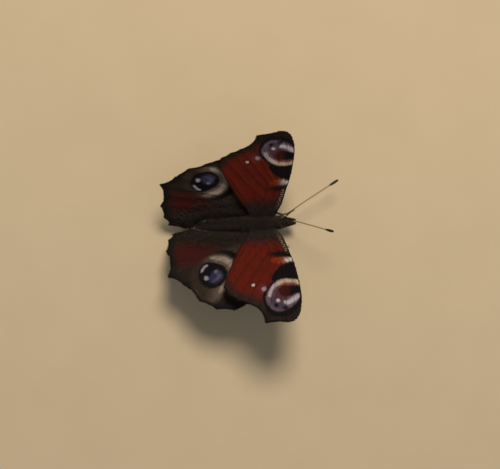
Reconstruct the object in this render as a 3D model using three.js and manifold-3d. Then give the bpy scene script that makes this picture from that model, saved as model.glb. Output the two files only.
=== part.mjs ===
// A peacock butterfly at rest, life size, its wings half open in a V.
// Millimetres. +X points to the head, +Y to the animal's left, +Z up, and the feet stand on z = 0.
import * as THREE from "three";
import { ConvexHull } from "three/addons/math/ConvexHull.js";
import { mergeVertices } from "three/addons/utils/BufferGeometryUtils.js";
import Module from "manifold-3d";

const wasm = await Module();
wasm.setup();

const GAP = 0.3; // kept between neighbouring pieces
const LEFT = 1;
const RIGHT = -1;

// The trunk. Thorax and head are eggs along X, where power makes an egg fuller towards its ends.
// rear and front give [x, z] there, and half gives [half width, half height].
const THORAX = { rear: [-3.9, 5.3], front: [4.1, 5.5], half: [2.3, 2.5], power: 2.3 };
const HEAD = { rear: [3.5, 5.5], front: [6.5, 5.3], half: [1.3, 1.35], power: 2.2 };
const ABDOMEN = { rear: [-16.2, 4.3], front: [-2.6, 5.2], half: [1.42, 1.65], segments: 7, groove: 0.1 };
const EYE = { x: 5.15, y: 1.1, z: 5.55, halfLength: 0.82, halfWidth: 0.55, halfHeight: 0.88 };

// How each wing is held. root and tip are its angles above level there, and twist is added to them behind.
// curl lifts the corner past the wing's curl line, forward moves the wing ahead, and reach draws its outer
// part out from the body. tuck and pinch lean the inner edge in, at its end and behind the abdomen's tip.
const STILL = { curl: 0, twist: 0, forward: 0, reach: 0, tuck: 0, pinch: 0 };
const HOLD = {
  forewing_left: { ...STILL, side: LEFT, above: 1.2, root: 45.2, tip: 45.2, curl: 0.035 },
  forewing_right: { ...STILL, side: RIGHT, above: 1.2, root: 57, tip: 24, curl: -0.035 },
  hindwing_left: {
    ...STILL, side: LEFT, above: 0, root: 45.2, tip: 45.2, twist: 4.5, reach: -1.6, tuck: 1.5, pinch: 1.1,
  },
  hindwing_right: {
    ...STILL, side: RIGHT, above: 0, root: 52, tip: 5, forward: 0.8, reach: 1.5, tuck: 0.2, pinch: 0.9,
  },
};
const FOLD = { start: -3, y: 2.0, z: 3.4, length: 2 }; // the upright inner edge beside the abdomen
const SPAN = 28; // from the root to where the tip angle is reached
const TWIST = { from: 8, to: 15 }; // the stretch behind the root over which the twist grows
const REACH = { from: 16, to: 21 }; // the stretch of t over which a wing's reach grows
const TUCK = { from: 14.5, to: 19.5, pinchAt: 17.6, pinchWidth: 2.8, fade: 5 }; // fade is along t
const MEMBRANE = 0.5; // thickness

// Vein ridges: height at the root and at the margin, and half their width.
const RIDGE = { root: 0.2, end: 0.1, halfWidth: 0.45 };
const COSTA_SWELL = 0.1;
// Mesh steps in the wing's plane.
const STEP = { margin: 0.95, vein: 1.35, inside: 2.6, apart: 0.4, fromMargin: 0.5 };

// Wing outlines in the wing's own plane: [forward, outward] from the middle of the thorax.
// The outer margin runs through the ends of the veins, and dips between them.
const FORE = {
  curlLine: { x: -0.5, t: 0.86, from: 19 },
  costa: [
    [3.3, -0.8], [5.3, 4.2], [6.3, 8.3], [7.5, 12.9], [8.4, 18.3],
    [8.75, 22.3], [8.4, 25.4], [7.6, 27.4], [6.4, 28.4], [4.9, 28.5],
  ],
  margin: [[4.9, 28.5], [-0.2, 28.3], [-1.6, 24.9], [-4.2, 23.4], [-6.6, 22.4], [-8.9, 20.9], [-9.9, 18.6]],
  dips: [0.25, 0.35, 0.25, 0.25, 0.25, 0.15],
  inner: [[-9.9, 18.6], [-9.2, 16.4], [-8.0, 13.1], [-6.7, 9.6], [-5.1, 5.8], [-3.6, 2.8], [-2.4, -0.8]],
  veins: {
    subcosta: [[1.9, -0.6], [4.4, 6], [6.4, 12], [7.9, 17.4]],
    radius: [[1.2, -0.6], [3.2, 6.2], [4.6, 10.9], [5.9, 15.2], [7.1, 19.6], [7.9, 25.6]],
    radius1: [[4.3, 9.6], [6.2, 14.6], [8.2, 20.6]],
    radius4: [[6.9, 19.0], [6.9, 23.4], [6.3, 27.8]],
    radius5: [[4.6, 10.9], [4.7, 16], [5.0, 22], [4.8, 27.9]],
    media1: [[4.6, 10.9], [3.2, 16], [1.6, 22], [0.0, 27.8]],
    media2: [[3.4, 11.5], [1.6, 16], [0.0, 20.6], [-1.4, 24.4]],
    cellEnd: [[4.6, 10.9], [3.4, 11.5], [1.9, 10.9]],
    cubitus: [[0.3, -0.6], [0.9, 4.4], [1.9, 10.9], [-0.2, 15.4], [-2.6, 20], [-4.0, 22.9]],
    cubitus1: [[1.5, 8.8], [-1.6, 14], [-4.4, 18.6], [-6.3, 21.9]],
    cubitus2: [[1.0, 5.4], [-2.4, 10.4], [-6.0, 16], [-8.6, 20.4]],
    anal: [[-0.9, -0.6], [-3.4, 4.8], [-6.4, 11.6], [-8.6, 16.6]],
  },
};
const HIND = {
  curlLine: { x: -0.73, t: 0.685, from: 21.6 },
  costa: [[0.5, -0.9], [1.4, 3.6], [0.9, 8.6], [-0.9, 13.6], [-3.2, 17.4], [-5.6, 19.5], [-8.3, 20.5]],
  margin: [
    [-8.3, 20.5], [-12.7, 20.1], [-16.9, 18.5], [-20.5, 14.9], [-24.4, 12.5],
    [-23.6, 8.5], [-24.7, 4.9], [-24.1, 0.6], [-22.8, -1.9],
  ],
  dips: [0.2, 0.25, 0.3, 0.5, 0.35, 0.4, 0.35, 0.3],
  inner: [[-22.8, -1.9], [-19.4, -2.5], [-14, -2.7], [-9, -2.6], [-5.6, -2.0], [-3, -1.4], [-1.2, -0.9]],
  veins: {
    subcosta: [[-0.1, -0.3], [-0.8, 7.6], [-4.0, 15.2], [-8.0, 20.0]],
    radius: [[-0.5, -0.2], [-3.4, 6.2], [-8.0, 14.4], [-12.4, 19.6]],
    media1: [[-3.4, 6.2], [-7.2, 9.6], [-12.2, 14.2], [-16.5, 18.1]],
    media2: [[-5.4, 6.4], [-10.4, 10.4], [-15.4, 12.8], [-20.0, 14.7]],
    cellEnd: [[-3.4, 6.2], [-5.4, 6.4], [-7.4, 5.2]],
    media3: [[-0.9, -0.2], [-4.2, 3.0], [-7.4, 5.2], [-15.4, 9.2], [-23.8, 12.3]],
    cubitus1: [[-7.4, 5.2], [-15.2, 6.8], [-23.2, 8.5]],
    cubitus2: [[-5.0, 3.5], [-13.0, 3.6], [-24.2, 4.9]],
    anal: [[-1.4, -0.5], [-8.0, 0.6], [-16, 0.5], [-23.6, 0.6]],
  },
};

// Legs, as points on the middle line and the radius there. The last stretch lies on the floor.
const FOOT_Z = 0.19; // height of the foot's middle line, so that a narrow flat rests on the floor
const LEG_RADII = [0.46, 0.42, 0.36, 0.34, 0.3, 0.27, 0.27, 0.27];
const LEGS = {
  mid_leg_left: [
    [1.0, 1.0, 3.6], [1.7, 1.8, 2.8], [3.2, 2.5, 2.9], [4.4, 2.2, 1.8],
    [5.3, 1.9, 0.7], [5.8, 1.9, 0.24], [6.5, 2.05, FOOT_Z], [8.2, 2.8, FOOT_Z],
  ],
  mid_leg_right: [
    [1.2, -0.9, 3.6], [1.8, -2.2, 3.1], [3.2, -4.7, 4.0], [4.0, -5.6, 2.4],
    [4.6, -6.0, 0.7], [4.9, -6.1, 0.24], [5.3, -6.2, FOOT_Z], [6.4, -6.3, FOOT_Z],
  ],
  hind_leg_left: [
    [-1.4, 0.9, 3.6], [-2.2, 2.0, 3.1], [-4.4, 4.4, 3.7], [-7.0, 5.6, 2.3],
    [-9.4, 6.2, 0.7], [-10.1, 6.3, 0.24], [-10.7, 6.4, FOOT_Z], [-12.1, 6.5, FOOT_Z],
  ],
  hind_leg_right: [
    [-1.4, -0.9, 3.6], [-2.2, -2.0, 3.1], [-4.2, -4.7, 3.7], [-6.4, -6.4, 2.3],
    [-8.4, -7.4, 0.7], [-9.0, -7.6, 0.24], [-9.6, -7.8, FOOT_Z], [-10.9, -8.1, FOOT_Z],
  ],
};
const FORELEG = [[2.4, 0.8, 3.9], [2.9, 0.85, 3.1], [3.7, 0.9, 2.7], [4.5, 0.9, 2.9], [4.9, 0.85, 3.5]];
const FORELEG_RADII = [0.34, 0.36, 0.34, 0.3, 0.25];

// Feelers, as points from the root to the tip.
const FEELERS = {
  antenna_left: [[5.2, 0.5, 5.8], [6.4, 1.6, 6.9], [8.6, 3.35, 7.5], [14, 6.65, 8.3], [19.55, 9.85, 8.7]],
  antenna_right: [[5.2, -0.45, 5.8], [6.4, -0.1, 7.1], [8.2, 0.15, 8.6], [11.3, -0.75, 11.1], [17.5, -2.8, 15.9]],
};
const FEELER = { radius: 0.25, clubRadius: 0.46, clubStart: 0.84, steps: 22 };
const PALP = [[5.4, 0.52, 5.0], [6.4, 0.62, 4.8], [7.4, 0.5, 5.1], [8.3, 0.38, 5.5]];
const PALP_RADII = [0.4, 0.44, 0.36, 0.22];
const TONGUE = { x: 5.9, z: 2.6, inner: 0.4, pitch: 0.82, turns: 1.2, radius: 0.25 };

// Closed body from rings of points, each ring the same length, with a point at either end.
function closeRings(rings, first, last) {
  const sides = rings[0].length;
  const points = [first, ...rings.flat(), last];
  const index = [];
  const at = (ring, side) => 1 + ring * sides + (side % sides);
  for (let side = 0; side < sides; side++) {
    index.push(0, at(0, side + 1), at(0, side));
    index.push(points.length - 1, at(rings.length - 1, side), at(rings.length - 1, side + 1));
    for (let ring = 0; ring + 1 < rings.length; ring++) {
      const [a, b] = [at(ring, side), at(ring, side + 1)];
      const [c, d] = [at(ring + 1, side), at(ring + 1, side + 1)];
      index.push(a, b, d, a, d, c);
    }
  }
  const geometry = new THREE.BufferGeometry().setFromPoints(points);
  return geometry.setIndex(index);
}

// Body along X from stations {x, z, w, h}, each an oval.
function loft(stations, sides) {
  const ring = ({ x, z, w, h }) =>
    Array.from({ length: sides }, (_, i) => {
      const angle = (2 * Math.PI * i) / sides;
      return new THREE.Vector3(x, w * Math.cos(angle), z + h * Math.sin(angle));
    });
  const end = ({ x, z }) => new THREE.Vector3(x, 0, z);
  return closeRings(stations.slice(1, -1).map(ring), end(stations[0]), end(stations.at(-1)));
}

// An egg lying along X. grow makes it larger all round.
function egg({ rear, front, half, power }, grow = 0, steps = 12, sides = 20) {
  const [middle, reach] = [(rear[0] + front[0]) / 2, (front[0] - rear[0]) / 2 + grow];
  const stations = Array.from({ length: steps + 1 }, (_, i) => {
    const s = -Math.cos((Math.PI * i) / steps);
    const full = Math.pow(Math.max(0, 1 - Math.pow(Math.abs(s), power)), 1 / power);
    const z = THREE.MathUtils.lerp(rear[1], front[1], (s + 1) / 2);
    return { x: middle + s * reach, z, w: (half[0] + grow) * full, h: (half[1] + grow) * full };
  });
  return loft(stations, sides);
}

// The abdomen, with a shallow groove between its rings.
function abdomenShape(grow = 0, sides = 18) {
  const { rear, front, half, segments, groove } = ABDOMEN;
  const perSegment = 3;
  const steps = segments * perSegment;
  const length = front[0] - rear[0] + 2 * grow;
  const stations = [];
  for (let i = 0; i <= steps; i++) {
    const s = i / steps;
    const taper = Math.pow(Math.sin(Math.PI * Math.min(0.5, 0.04 + 0.85 * s)), 0.62);
    const frontRound = Math.sqrt(Math.max(0, 1 - Math.pow(Math.max(0, (s - 0.8) / 0.2), 2)));
    const waist = i % perSegment === 0 ? 1 - groove / half[0] : 1;
    const full = i === 0 ? 0 : taper * frontRound * waist;
    const z = THREE.MathUtils.lerp(rear[1], front[1], s);
    stations.push({ x: rear[0] - grow + s * length, z, w: (half[0] + grow) * full, h: (half[1] + grow) * full });
  }
  return loft(stations, sides);
}

function eyeShape(side, grow = 0) {
  const shape = new THREE.IcosahedronGeometry(1, 3);
  shape.scale(EYE.halfLength + grow, EYE.halfWidth + grow, EYE.halfHeight + grow);
  return shape.translate(EYE.x, side * EYE.y, EYE.z);
}

// Round bar of changing radius along a smooth line through points. Its ends are blunt.
function bar(points, radiusAt, steps, sides = 8) {
  const line = new THREE.CatmullRomCurve3(points.map((p) => new THREE.Vector3(...p)), false, "centripetal");
  const frames = line.computeFrenetFrames(steps, false);
  const rings = [];
  for (let i = 0; i <= steps; i++) {
    const middle = line.getPointAt(i / steps);
    const radius = radiusAt(i / steps);
    rings.push(
      Array.from({ length: sides }, (_, k) => {
        const angle = (2 * Math.PI * (k + 0.5)) / sides;
        return middle
          .clone()
          .addScaledVector(frames.normals[i], radius * Math.cos(angle))
          .addScaledVector(frames.binormals[i], radius * Math.sin(angle));
      }),
    );
  }
  const past = (i, way) =>
    line.getPointAt(i).addScaledVector(line.getTangentAt(i), way * 0.6 * radiusAt(i));
  return closeRings(rings, past(0, -1), past(1, 1));
}

// Radius read off a list spread evenly along the bar.
const radiusFrom = (list) => (s) => {
  const place = s * (list.length - 1);
  const i = Math.min(list.length - 2, Math.floor(place));
  return THREE.MathUtils.lerp(list[i], list[i + 1], place - i);
};

// Angle above level, in radians, of a wing at x and at t, the distance out from the root along the wing.
function riseAt({ root, tip, twist }, x, t) {
  const { clamp, degToRad, lerp, smoothstep } = THREE.MathUtils;
  const twisted = twist * smoothstep(-x, TWIST.from, TWIST.to);
  const slope = degToRad(lerp(root, tip, clamp(t / SPAN, 0, 1.1)) + twisted);
  return slope + (Math.PI / 2 - slope) * Math.exp(-(t - FOLD.start) / FOLD.length);
}

// Place in space of a point of a wing's plane: along a line that rises from the body as riseAt says.
function wingPlace(hold, curlLine, point) {
  const { smoothstep } = THREE.MathUtils;
  const x = point.x + hold.forward;
  const t = point.y + hold.reach * smoothstep(point.y, REACH.from, REACH.to);
  const step = 0.1;
  let [y, z] = [FOLD.y, FOLD.z];
  for (let at = FOLD.start; at < t; at += step) {
    const length = Math.min(step, t - at);
    const slope = riseAt(hold, x, at + length / 2);
    y += Math.cos(slope) * length;
    z += Math.sin(slope) * length;
  }
  const beyond = Math.max(0, point.x * curlLine.x + point.y * curlLine.t - curlLine.from);
  const out = hold.above + hold.curl * beyond * beyond;
  const tuck = hold.tuck * smoothstep(-x, TUCK.from, TUCK.to);
  const pinch = hold.pinch * Math.exp(-Math.pow((x + TUCK.pinchAt) / TUCK.pinchWidth, 2));
  const slope = riseAt(hold, x, t);
  y -= Math.sin(slope) * out + (tuck + pinch) * Math.exp(-Math.max(0, t - FOLD.start) / TUCK.fade);
  z += Math.cos(slope) * out;
  return new THREE.Vector3(x, hold.side * y, z);
}

// A smooth open line in the plane through points, cut into steps of about the given length.
function planeLine(points, step) {
  const places = points.map(([x, t]) => new THREE.Vector3(x, t, 0));
  const curve = new THREE.CatmullRomCurve3(places, false, "centripetal");
  const count = Math.max(2, Math.round(curve.getLength() / step));
  return curve.getSpacedPoints(count).map((p) => new THREE.Vector2(p.x, p.y));
}

// The outline of a wing, once round, with swell marking its thick front edge.
function wingOutline({ costa, margin, dips, inner }) {
  const front = planeLine(costa, STEP.margin).map((p) => Object.assign(p, { swell: COSTA_SWELL }));
  const outer = [];
  margin.slice(1).forEach((end, i) => {
    const [a, b] = [new THREE.Vector2(...margin[i]), new THREE.Vector2(...end)];
    const along = b.clone().sub(a);
    const inward = new THREE.Vector2(along.y, -along.x).normalize();
    const count = Math.max(3, Math.round(along.length() / STEP.margin));
    for (let k = 0; k < count; k++) {
      const s = k / count;
      outer.push(a.clone().addScaledVector(along, s).addScaledVector(inward, -4 * dips[i] * s * (1 - s)));
    }
  });
  return [...front.slice(0, -1), ...outer, ...planeLine(inner, STEP.margin)];
}

function isInside(point, outline) {
  let inside = false;
  outline.forEach((a, i) => {
    const b = outline[(i + 1) % outline.length];
    if (a.y > point.y === b.y > point.y) return;
    if (point.x < ((b.x - a.x) * (point.y - a.y)) / (b.y - a.y) + a.x) inside = !inside;
  });
  return inside;
}

// The wing's points in its plane: the outline, then the veins with their flanks, then the cells.
function wingPoints(wing) {
  const outline = wingOutline(wing);
  const kept = [...outline];
  const add = (point, apart, swell = 0) => {
    if (!isInside(point, outline)) return;
    if (outline.some((o) => o.distanceTo(point) < STEP.fromMargin)) return;
    if (kept.some((o) => o.distanceTo(point) < apart)) return;
    kept.push(Object.assign(point, { swell }));
  };
  const lines = Object.values(wing.veins).map((path) => planeLine(path, STEP.vein));
  for (const line of lines) {
    line.forEach((point, i) => {
      add(point.clone(), STEP.apart, THREE.MathUtils.lerp(RIDGE.root, RIDGE.end, i / (line.length - 1)));
    });
  }
  for (const line of lines) {
    line.forEach((point, i) => {
      const next = line[Math.min(i + 1, line.length - 1)];
      const along = next.clone().sub(line[Math.max(i - 1, 0)]).normalize();
      const flank = new THREE.Vector2(-along.y, along.x).multiplyScalar(RIDGE.halfWidth);
      add(point.clone().add(flank), STEP.apart);
      add(point.clone().sub(flank), STEP.apart);
    });
  }
  const row = STEP.inside * Math.sin(Math.PI / 3);
  for (let i = -14; i < 14; i++) {
    for (let j = -4; j < 16; j++) {
      const nudge = 0.05 * Math.sin(7 * i + 3 * j); // keeps the grid from being perfectly even
      add(new THREE.Vector2((i + (j % 2) / 2) * STEP.inside + nudge, j * row - nudge), STEP.inside * 0.45);
    }
  }
  return { outline, points: kept };
}

// Triangles of the plane between the points, by the hull of the points raised on a bowl.
function planeTriangles(points, outline) {
  const onBowl = (p) => new THREE.Vector3(p.x, p.y, 0.05 * p.lengthSq());
  const raised = points.map((p, i) => Object.assign(onBowl(p), { i }));
  const hull = new ConvexHull().setFromPoints(raised);
  const triangles = [];
  for (const face of hull.faces) {
    if (face.normal.z > -1e-6) continue;
    const corners = [face.edge.tail().point.i, face.edge.head().point.i, face.edge.next.head().point.i];
    const [a, b, c] = corners.map((k) => points[k]);
    const middle = a.clone().add(b).add(c).divideScalar(3);
    if (!isInside(middle, outline)) continue;
    const turn = (b.x - a.x) * (c.y - a.y) - (b.y - a.y) * (c.x - a.x);
    if (Math.abs(turn) > 1e-4) triangles.push(turn > 0 ? corners : [corners[0], corners[2], corners[1]]);
  }
  return triangles;
}

// A wing as one closed sheet, its veins raised on both faces.
function wingShape(wing, hold) {
  const { outline, points } = wingPoints(wing);
  const triangles = planeTriangles(points, outline);
  const small = 0.02;
  const faces = points.map((p) => {
    const place = (x, t) => wingPlace(hold, wing.curlLine, new THREE.Vector2(x, t));
    const middle = place(p.x, p.y);
    const forward = place(p.x + small, p.y).sub(middle);
    const outward = place(p.x, p.y + small).sub(middle);
    const up = forward.cross(outward).multiplyScalar(hold.side).normalize();
    const half = MEMBRANE / 2 + (p.swell ?? 0);
    return [middle.clone().addScaledVector(up, half), middle.clone().addScaledVector(up, -half)];
  });
  const count = points.length;
  const index = [];
  const edges = new Map();
  for (const [a, b, c] of triangles) {
    index.push(a, b, c, a + count, c + count, b + count);
    for (const [p, q] of [[a, b], [b, c], [c, a]]) edges.set(p + "," + q, [p, q]);
  }
  for (const [p, q] of edges.values()) {
    if (!edges.has(q + "," + p)) index.push(q, p, p + count, q, p + count, q + count);
  }
  if (hold.side === RIGHT) index.reverse();
  const corners = [...faces.map((f) => f[0]), ...faces.map((f) => f[1])];
  return new THREE.BufferGeometry().setFromPoints(corners).setIndex(index);
}

function toSolid(geometry) {
  const bare = (geometry.index ? geometry.toNonIndexed() : geometry).clone();
  bare.deleteAttribute("normal");
  bare.deleteAttribute("uv");
  const merged = mergeVertices(bare, 1e-4);
  return new wasm.Manifold(
    new wasm.Mesh({
      numProp: 3,
      vertProperties: new Float32Array(merged.attributes.position.array),
      triVerts: new Uint32Array(merged.index.array),
    }),
  );
}

function toGeometry(solid) {
  const mesh = solid.getMesh();
  const geometry = new THREE.BufferGeometry();
  geometry.setAttribute("position", new THREE.BufferAttribute(new Float32Array(mesh.vertProperties), 3));
  return geometry.setIndex(new THREE.BufferAttribute(new Uint32Array(mesh.triVerts), 1));
}

// A piece with its neighbours, made larger by the gap, cut out of it. Only its largest body is kept.
function clearOf(geometry, ...neighbours) {
  const cut = neighbours.reduce((solid, other) => solid.subtract(toSolid(other)), toSolid(geometry));
  const bodies = cut.decompose().sort((a, b) => b.volume() - a.volume());
  return toGeometry(bodies[0]);
}

const finish = {
  fur: new THREE.MeshStandardMaterial({ color: 0x3b2a20, roughness: 0.9 }),
  horn: new THREE.MeshStandardMaterial({ color: 0x2a1d14, roughness: 0.5 }),
  eye: new THREE.MeshStandardMaterial({ color: 0x1c120c, roughness: 0.2 }),
  leg: new THREE.MeshStandardMaterial({ color: 0x4a3a2a, roughness: 0.6 }),
  feeler: new THREE.MeshStandardMaterial({ color: 0x3a2c20, roughness: 0.6 }),
  wing: new THREE.MeshStandardMaterial({ color: 0x6e2218, roughness: 0.8 }),
};

const bothEyes = () => [eyeShape(LEFT, GAP), eyeShape(RIGHT, GAP)];

const butterfly = new THREE.Group();
function addPiece(name, geometry, material) {
  const mesh = new THREE.Mesh(geometry, material);
  mesh.name = name;
  butterfly.add(mesh);
}

function buildTrunk() {
  addPiece("thorax", egg(THORAX), finish.fur);
  addPiece("abdomen", clearOf(abdomenShape(), egg(THORAX, GAP)), finish.fur);
  addPiece("head", clearOf(egg(HEAD), egg(THORAX, GAP), ...bothEyes()), finish.fur);
  addPiece("eye_left", clearOf(eyeShape(LEFT), egg(THORAX, GAP)), finish.eye);
  addPiece("eye_right", clearOf(eyeShape(RIGHT), egg(THORAX, GAP)), finish.eye);
}

function buildMouth() {
  for (const [name, side] of [["palp_left", LEFT], ["palp_right", RIGHT]]) {
    const path = PALP.map(([x, y, z]) => [x, side * y, z]);
    addPiece(name, clearOf(bar(path, radiusFrom(PALP_RADII), 8), egg(HEAD, GAP)), finish.fur);
  }
  const { x, z, inner, pitch, turns, radius } = TONGUE;
  const steps = 18;
  const coil = Array.from({ length: steps + 1 }, (_, i) => {
    const angle = (2 * Math.PI * turns * i) / steps;
    const reach = inner + pitch * ((turns * i) / steps);
    return [x + reach * Math.cos(angle + 0.9), 0, z + reach * Math.sin(angle + 0.9)];
  });
  coil.push([5.3, 0, 4.3], [5.2, 0, 4.9]);
  addPiece("tongue", clearOf(bar(coil, () => radius, 34), egg(HEAD, GAP)), finish.horn);
}

function buildFeelers() {
  const { radius, clubRadius, clubStart, steps } = FEELER;
  const radiusAt = (s) => {
    const club = THREE.MathUtils.clamp((s - clubStart) / (1 - clubStart), 0, 1);
    return radius + (clubRadius - radius) * Math.pow(Math.sin(Math.PI * Math.min(0.9, club * 0.9)), 0.8);
  };
  for (const [name, path] of Object.entries(FEELERS)) {
    addPiece(name, clearOf(bar(path, radiusAt, steps), egg(HEAD, GAP), ...bothEyes()), finish.feeler);
  }
}

function buildLegs() {
  const floor = new THREE.BoxGeometry(80, 80, 4).translate(0, 0, -2);
  for (const [name, path] of Object.entries(LEGS)) {
    addPiece(name, clearOf(bar(path, radiusFrom(LEG_RADII), 18), egg(THORAX, GAP), floor), finish.leg);
  }
  for (const [name, side] of [["foreleg_left", LEFT], ["foreleg_right", RIGHT]]) {
    const path = FORELEG.map(([x, y, z]) => [x, side * y, z]);
    const leg = bar(path, radiusFrom(FORELEG_RADII), 8);
    addPiece(name, clearOf(leg, egg(THORAX, GAP), egg(HEAD, GAP)), finish.leg);
  }
}

function buildWings() {
  for (const [name, hold] of Object.entries(HOLD)) {
    const wing = name.startsWith("fore") ? FORE : HIND;
    addPiece(name, clearOf(wingShape(wing, hold), egg(THORAX, GAP), abdomenShape(GAP)), finish.wing);
  }
}

buildTrunk();
buildMouth();
buildFeelers();
buildLegs();
buildWings();

// The origin is on the floor, under the middle of the whole animal.
const box = new THREE.Box3().setFromObject(butterfly);
const middle = box.getCenter(new THREE.Vector3());
butterfly.position.set(-middle.x, -middle.y, -box.min.z);

export default butterfly;
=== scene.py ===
"""A peacock butterfly at life size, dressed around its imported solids.

Lengths are millimetres in the butterfly's own frame (X to the head, Y to its left, Z up from the floor),
and become metres in the row's frame when a mesh is made.
"""

import sys
import logging
import math
from dataclasses import dataclass, field
from enum import Enum
from typing import Any, Callable, Sequence

import bpy
import numpy as np
from mathutils import Matrix, Vector, geometry, kdtree


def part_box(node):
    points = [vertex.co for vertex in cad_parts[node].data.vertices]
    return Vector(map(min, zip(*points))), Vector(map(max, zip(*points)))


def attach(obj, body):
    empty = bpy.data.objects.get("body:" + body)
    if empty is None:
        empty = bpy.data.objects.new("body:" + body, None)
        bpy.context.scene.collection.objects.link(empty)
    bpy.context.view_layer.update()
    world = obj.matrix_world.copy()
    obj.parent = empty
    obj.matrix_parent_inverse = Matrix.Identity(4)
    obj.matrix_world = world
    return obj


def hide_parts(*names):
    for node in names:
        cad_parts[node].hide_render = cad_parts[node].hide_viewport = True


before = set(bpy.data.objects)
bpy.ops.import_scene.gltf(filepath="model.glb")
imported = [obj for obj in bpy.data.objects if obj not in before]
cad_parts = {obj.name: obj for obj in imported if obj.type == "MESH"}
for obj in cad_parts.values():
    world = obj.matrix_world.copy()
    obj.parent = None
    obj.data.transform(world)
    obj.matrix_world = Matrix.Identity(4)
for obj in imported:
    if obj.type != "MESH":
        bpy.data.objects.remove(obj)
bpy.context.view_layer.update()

Array = np.ndarray
Points = Sequence[Sequence[float]]
Socket = bpy.types.NodeSocket

log = logging.getLogger("butterfly")

MM = 0.001
BODY = "root"
BAKE_MAP = "OFBake"
PATCH = 0.003


def smooth(value: Array, low: float, high: float) -> Array:
    """Ease from 0 at low to 1 at high."""
    share = np.clip((np.asarray(value, float) - low) / (high - low), 0.0, 1.0)
    return share * share * (3.0 - 2.0 * share)


def unit(vectors: Array) -> Array:
    """Scale vectors to length one."""
    return vectors / np.maximum(np.linalg.norm(vectors, axis=-1, keepdims=True), 1e-12)


def linear(colour: str) -> tuple[float, float, float, float]:
    """Turn an sRGB hex value into a linear colour with alpha.

    Args:
        colour: Six hex digits after a #.

    Returns:
        Red, green, blue and alpha as Blender's sockets take them.
    """
    parts = [int(colour[i : i + 2], 16) / 255 for i in (1, 3, 5)]
    red, green, blue = (p / 12.92 if p <= 0.04045 else ((p + 0.055) / 1.055) ** 2.4 for p in parts)
    return red, green, blue, 1.0


def smooth_line(points: Points, step: float, closed: bool = False) -> Array:
    """Draw a centripetal Catmull-Rom line through points, cut evenly.

    Args:
        points: What the line passes through, in two or three dimensions.
        step: About how far apart the line's own points are.
        closed: Whether the line comes back to its start, which is then not repeated.

    Returns:
        The line's points, one a row.
    """
    given = np.asarray(points, float)
    if closed:
        padded = np.concatenate([given[-1:], given, given[:2]])
    else:
        padded = np.concatenate([[2 * given[0] - given[1]], given, [2 * given[-1] - given[-2]]])
    share = np.linspace(0, 1, 24, endpoint=False)[:, None]
    pieces = []
    for before, start, end, after in zip(padded, padded[1:], padded[2:], padded[3:]):
        first = math.sqrt(max(1e-9, float(np.linalg.norm(start - before))))
        middle = math.sqrt(max(1e-9, float(np.linalg.norm(end - start))))
        last = math.sqrt(max(1e-9, float(np.linalg.norm(after - end))))
        leave = (start - before) / first - (end - before) / (first + middle) + (end - start) / middle
        arrive = (end - start) / middle - (after - start) / (middle + last) + (after - end) / last
        leave, arrive = leave * middle, arrive * middle
        square = -3 * start + 3 * end - 2 * leave - arrive
        cube = 2 * start - 2 * end + leave + arrive
        pieces.append(start + leave * share + square * share**2 + cube * share**3)
    dense = np.concatenate([*pieces, padded[-2:-1]])
    along = np.concatenate([[0.0], np.cumsum(np.linalg.norm(np.diff(dense, axis=0), axis=1))])
    places = np.linspace(0, along[-1], max(2, round(along[-1] / step)) + 1)
    line = np.stack([np.interp(places, along, dense[:, axis]) for axis in range(dense.shape[1])], axis=1)
    return line[:-1] if closed else line


def distance_to_lines(points: Array, lines: Sequence[Array]) -> Array:
    """Measure how far points of the plane are from the nearest of some lines."""
    nearest = np.full(len(points), np.inf)
    for line in lines:
        start, along = line[:-1], np.diff(line, axis=0)
        offset = points[:, None, :] - start[None]
        share = np.clip((offset * along).sum(2) / np.maximum((along**2).sum(1), 1e-12), 0, 1)
        gap = np.linalg.norm(offset - share[..., None] * along, axis=2).min(1)
        nearest = np.minimum(nearest, gap)
    return nearest


def distance_outside(points: Array, outline: Array) -> Array:
    """Measure how far points are outside a closed outline, below zero for those inside."""
    ring = np.concatenate([outline, outline[:1]])
    gap = distance_to_lines(points, [ring])
    start, end = ring[:-1], ring[1:]
    x, y = points[:, None, 0], points[:, None, 1]
    spans = (start[:, 1] > y) != (end[:, 1] > y)
    rise = np.where(end[:, 1] == start[:, 1], 1e-12, end[:, 1] - start[:, 1])
    crossing = (end[:, 0] - start[:, 0]) * (y - start[:, 1]) / rise + start[:, 0]
    inside = (spans & (x < crossing)).sum(1) % 2 == 1
    return np.where(inside, -gap, gap)


@dataclass(frozen=True)
class RowFrame:
    """Carries the butterfly's own millimetres into the row's metres."""

    ahead: float
    left: float

    @classmethod
    def measured(cls) -> "RowFrame":
        """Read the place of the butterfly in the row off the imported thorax."""
        low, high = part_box("thorax")
        middle = (low + high) / (2 * MM)
        return cls(middle.x - (THORAX.rear[0] + THORAX.front[0]) / 2, middle.y)

    def metres(self, points: Array) -> Array:
        """Turn own millimetres into metres of the row."""
        return (np.asarray(points, float) + (self.ahead, self.left, 0.0)) * MM


@dataclass(frozen=True)
class Egg:
    """An egg lying along X: its rear and front as (x, z), its half width and half height."""

    rear: tuple[float, float]
    front: tuple[float, float]
    half: tuple[float, float]
    power: float = 2.0

    def size(self, x: Array) -> tuple[Array, Array, Array]:
        """Give the height of the middle, the half width and the half height at x."""
        middle, reach = (self.rear[0] + self.front[0]) / 2, (self.front[0] - self.rear[0]) / 2
        share = (x - middle) / reach
        full = np.maximum(0, 1 - np.abs(np.clip(share, -1, 1)) ** self.power) ** (1 / self.power)
        z = self.rear[1] + (self.front[1] - self.rear[1]) * (share + 1) / 2
        return z, self.half[0] * full, self.half[1] * full


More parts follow.
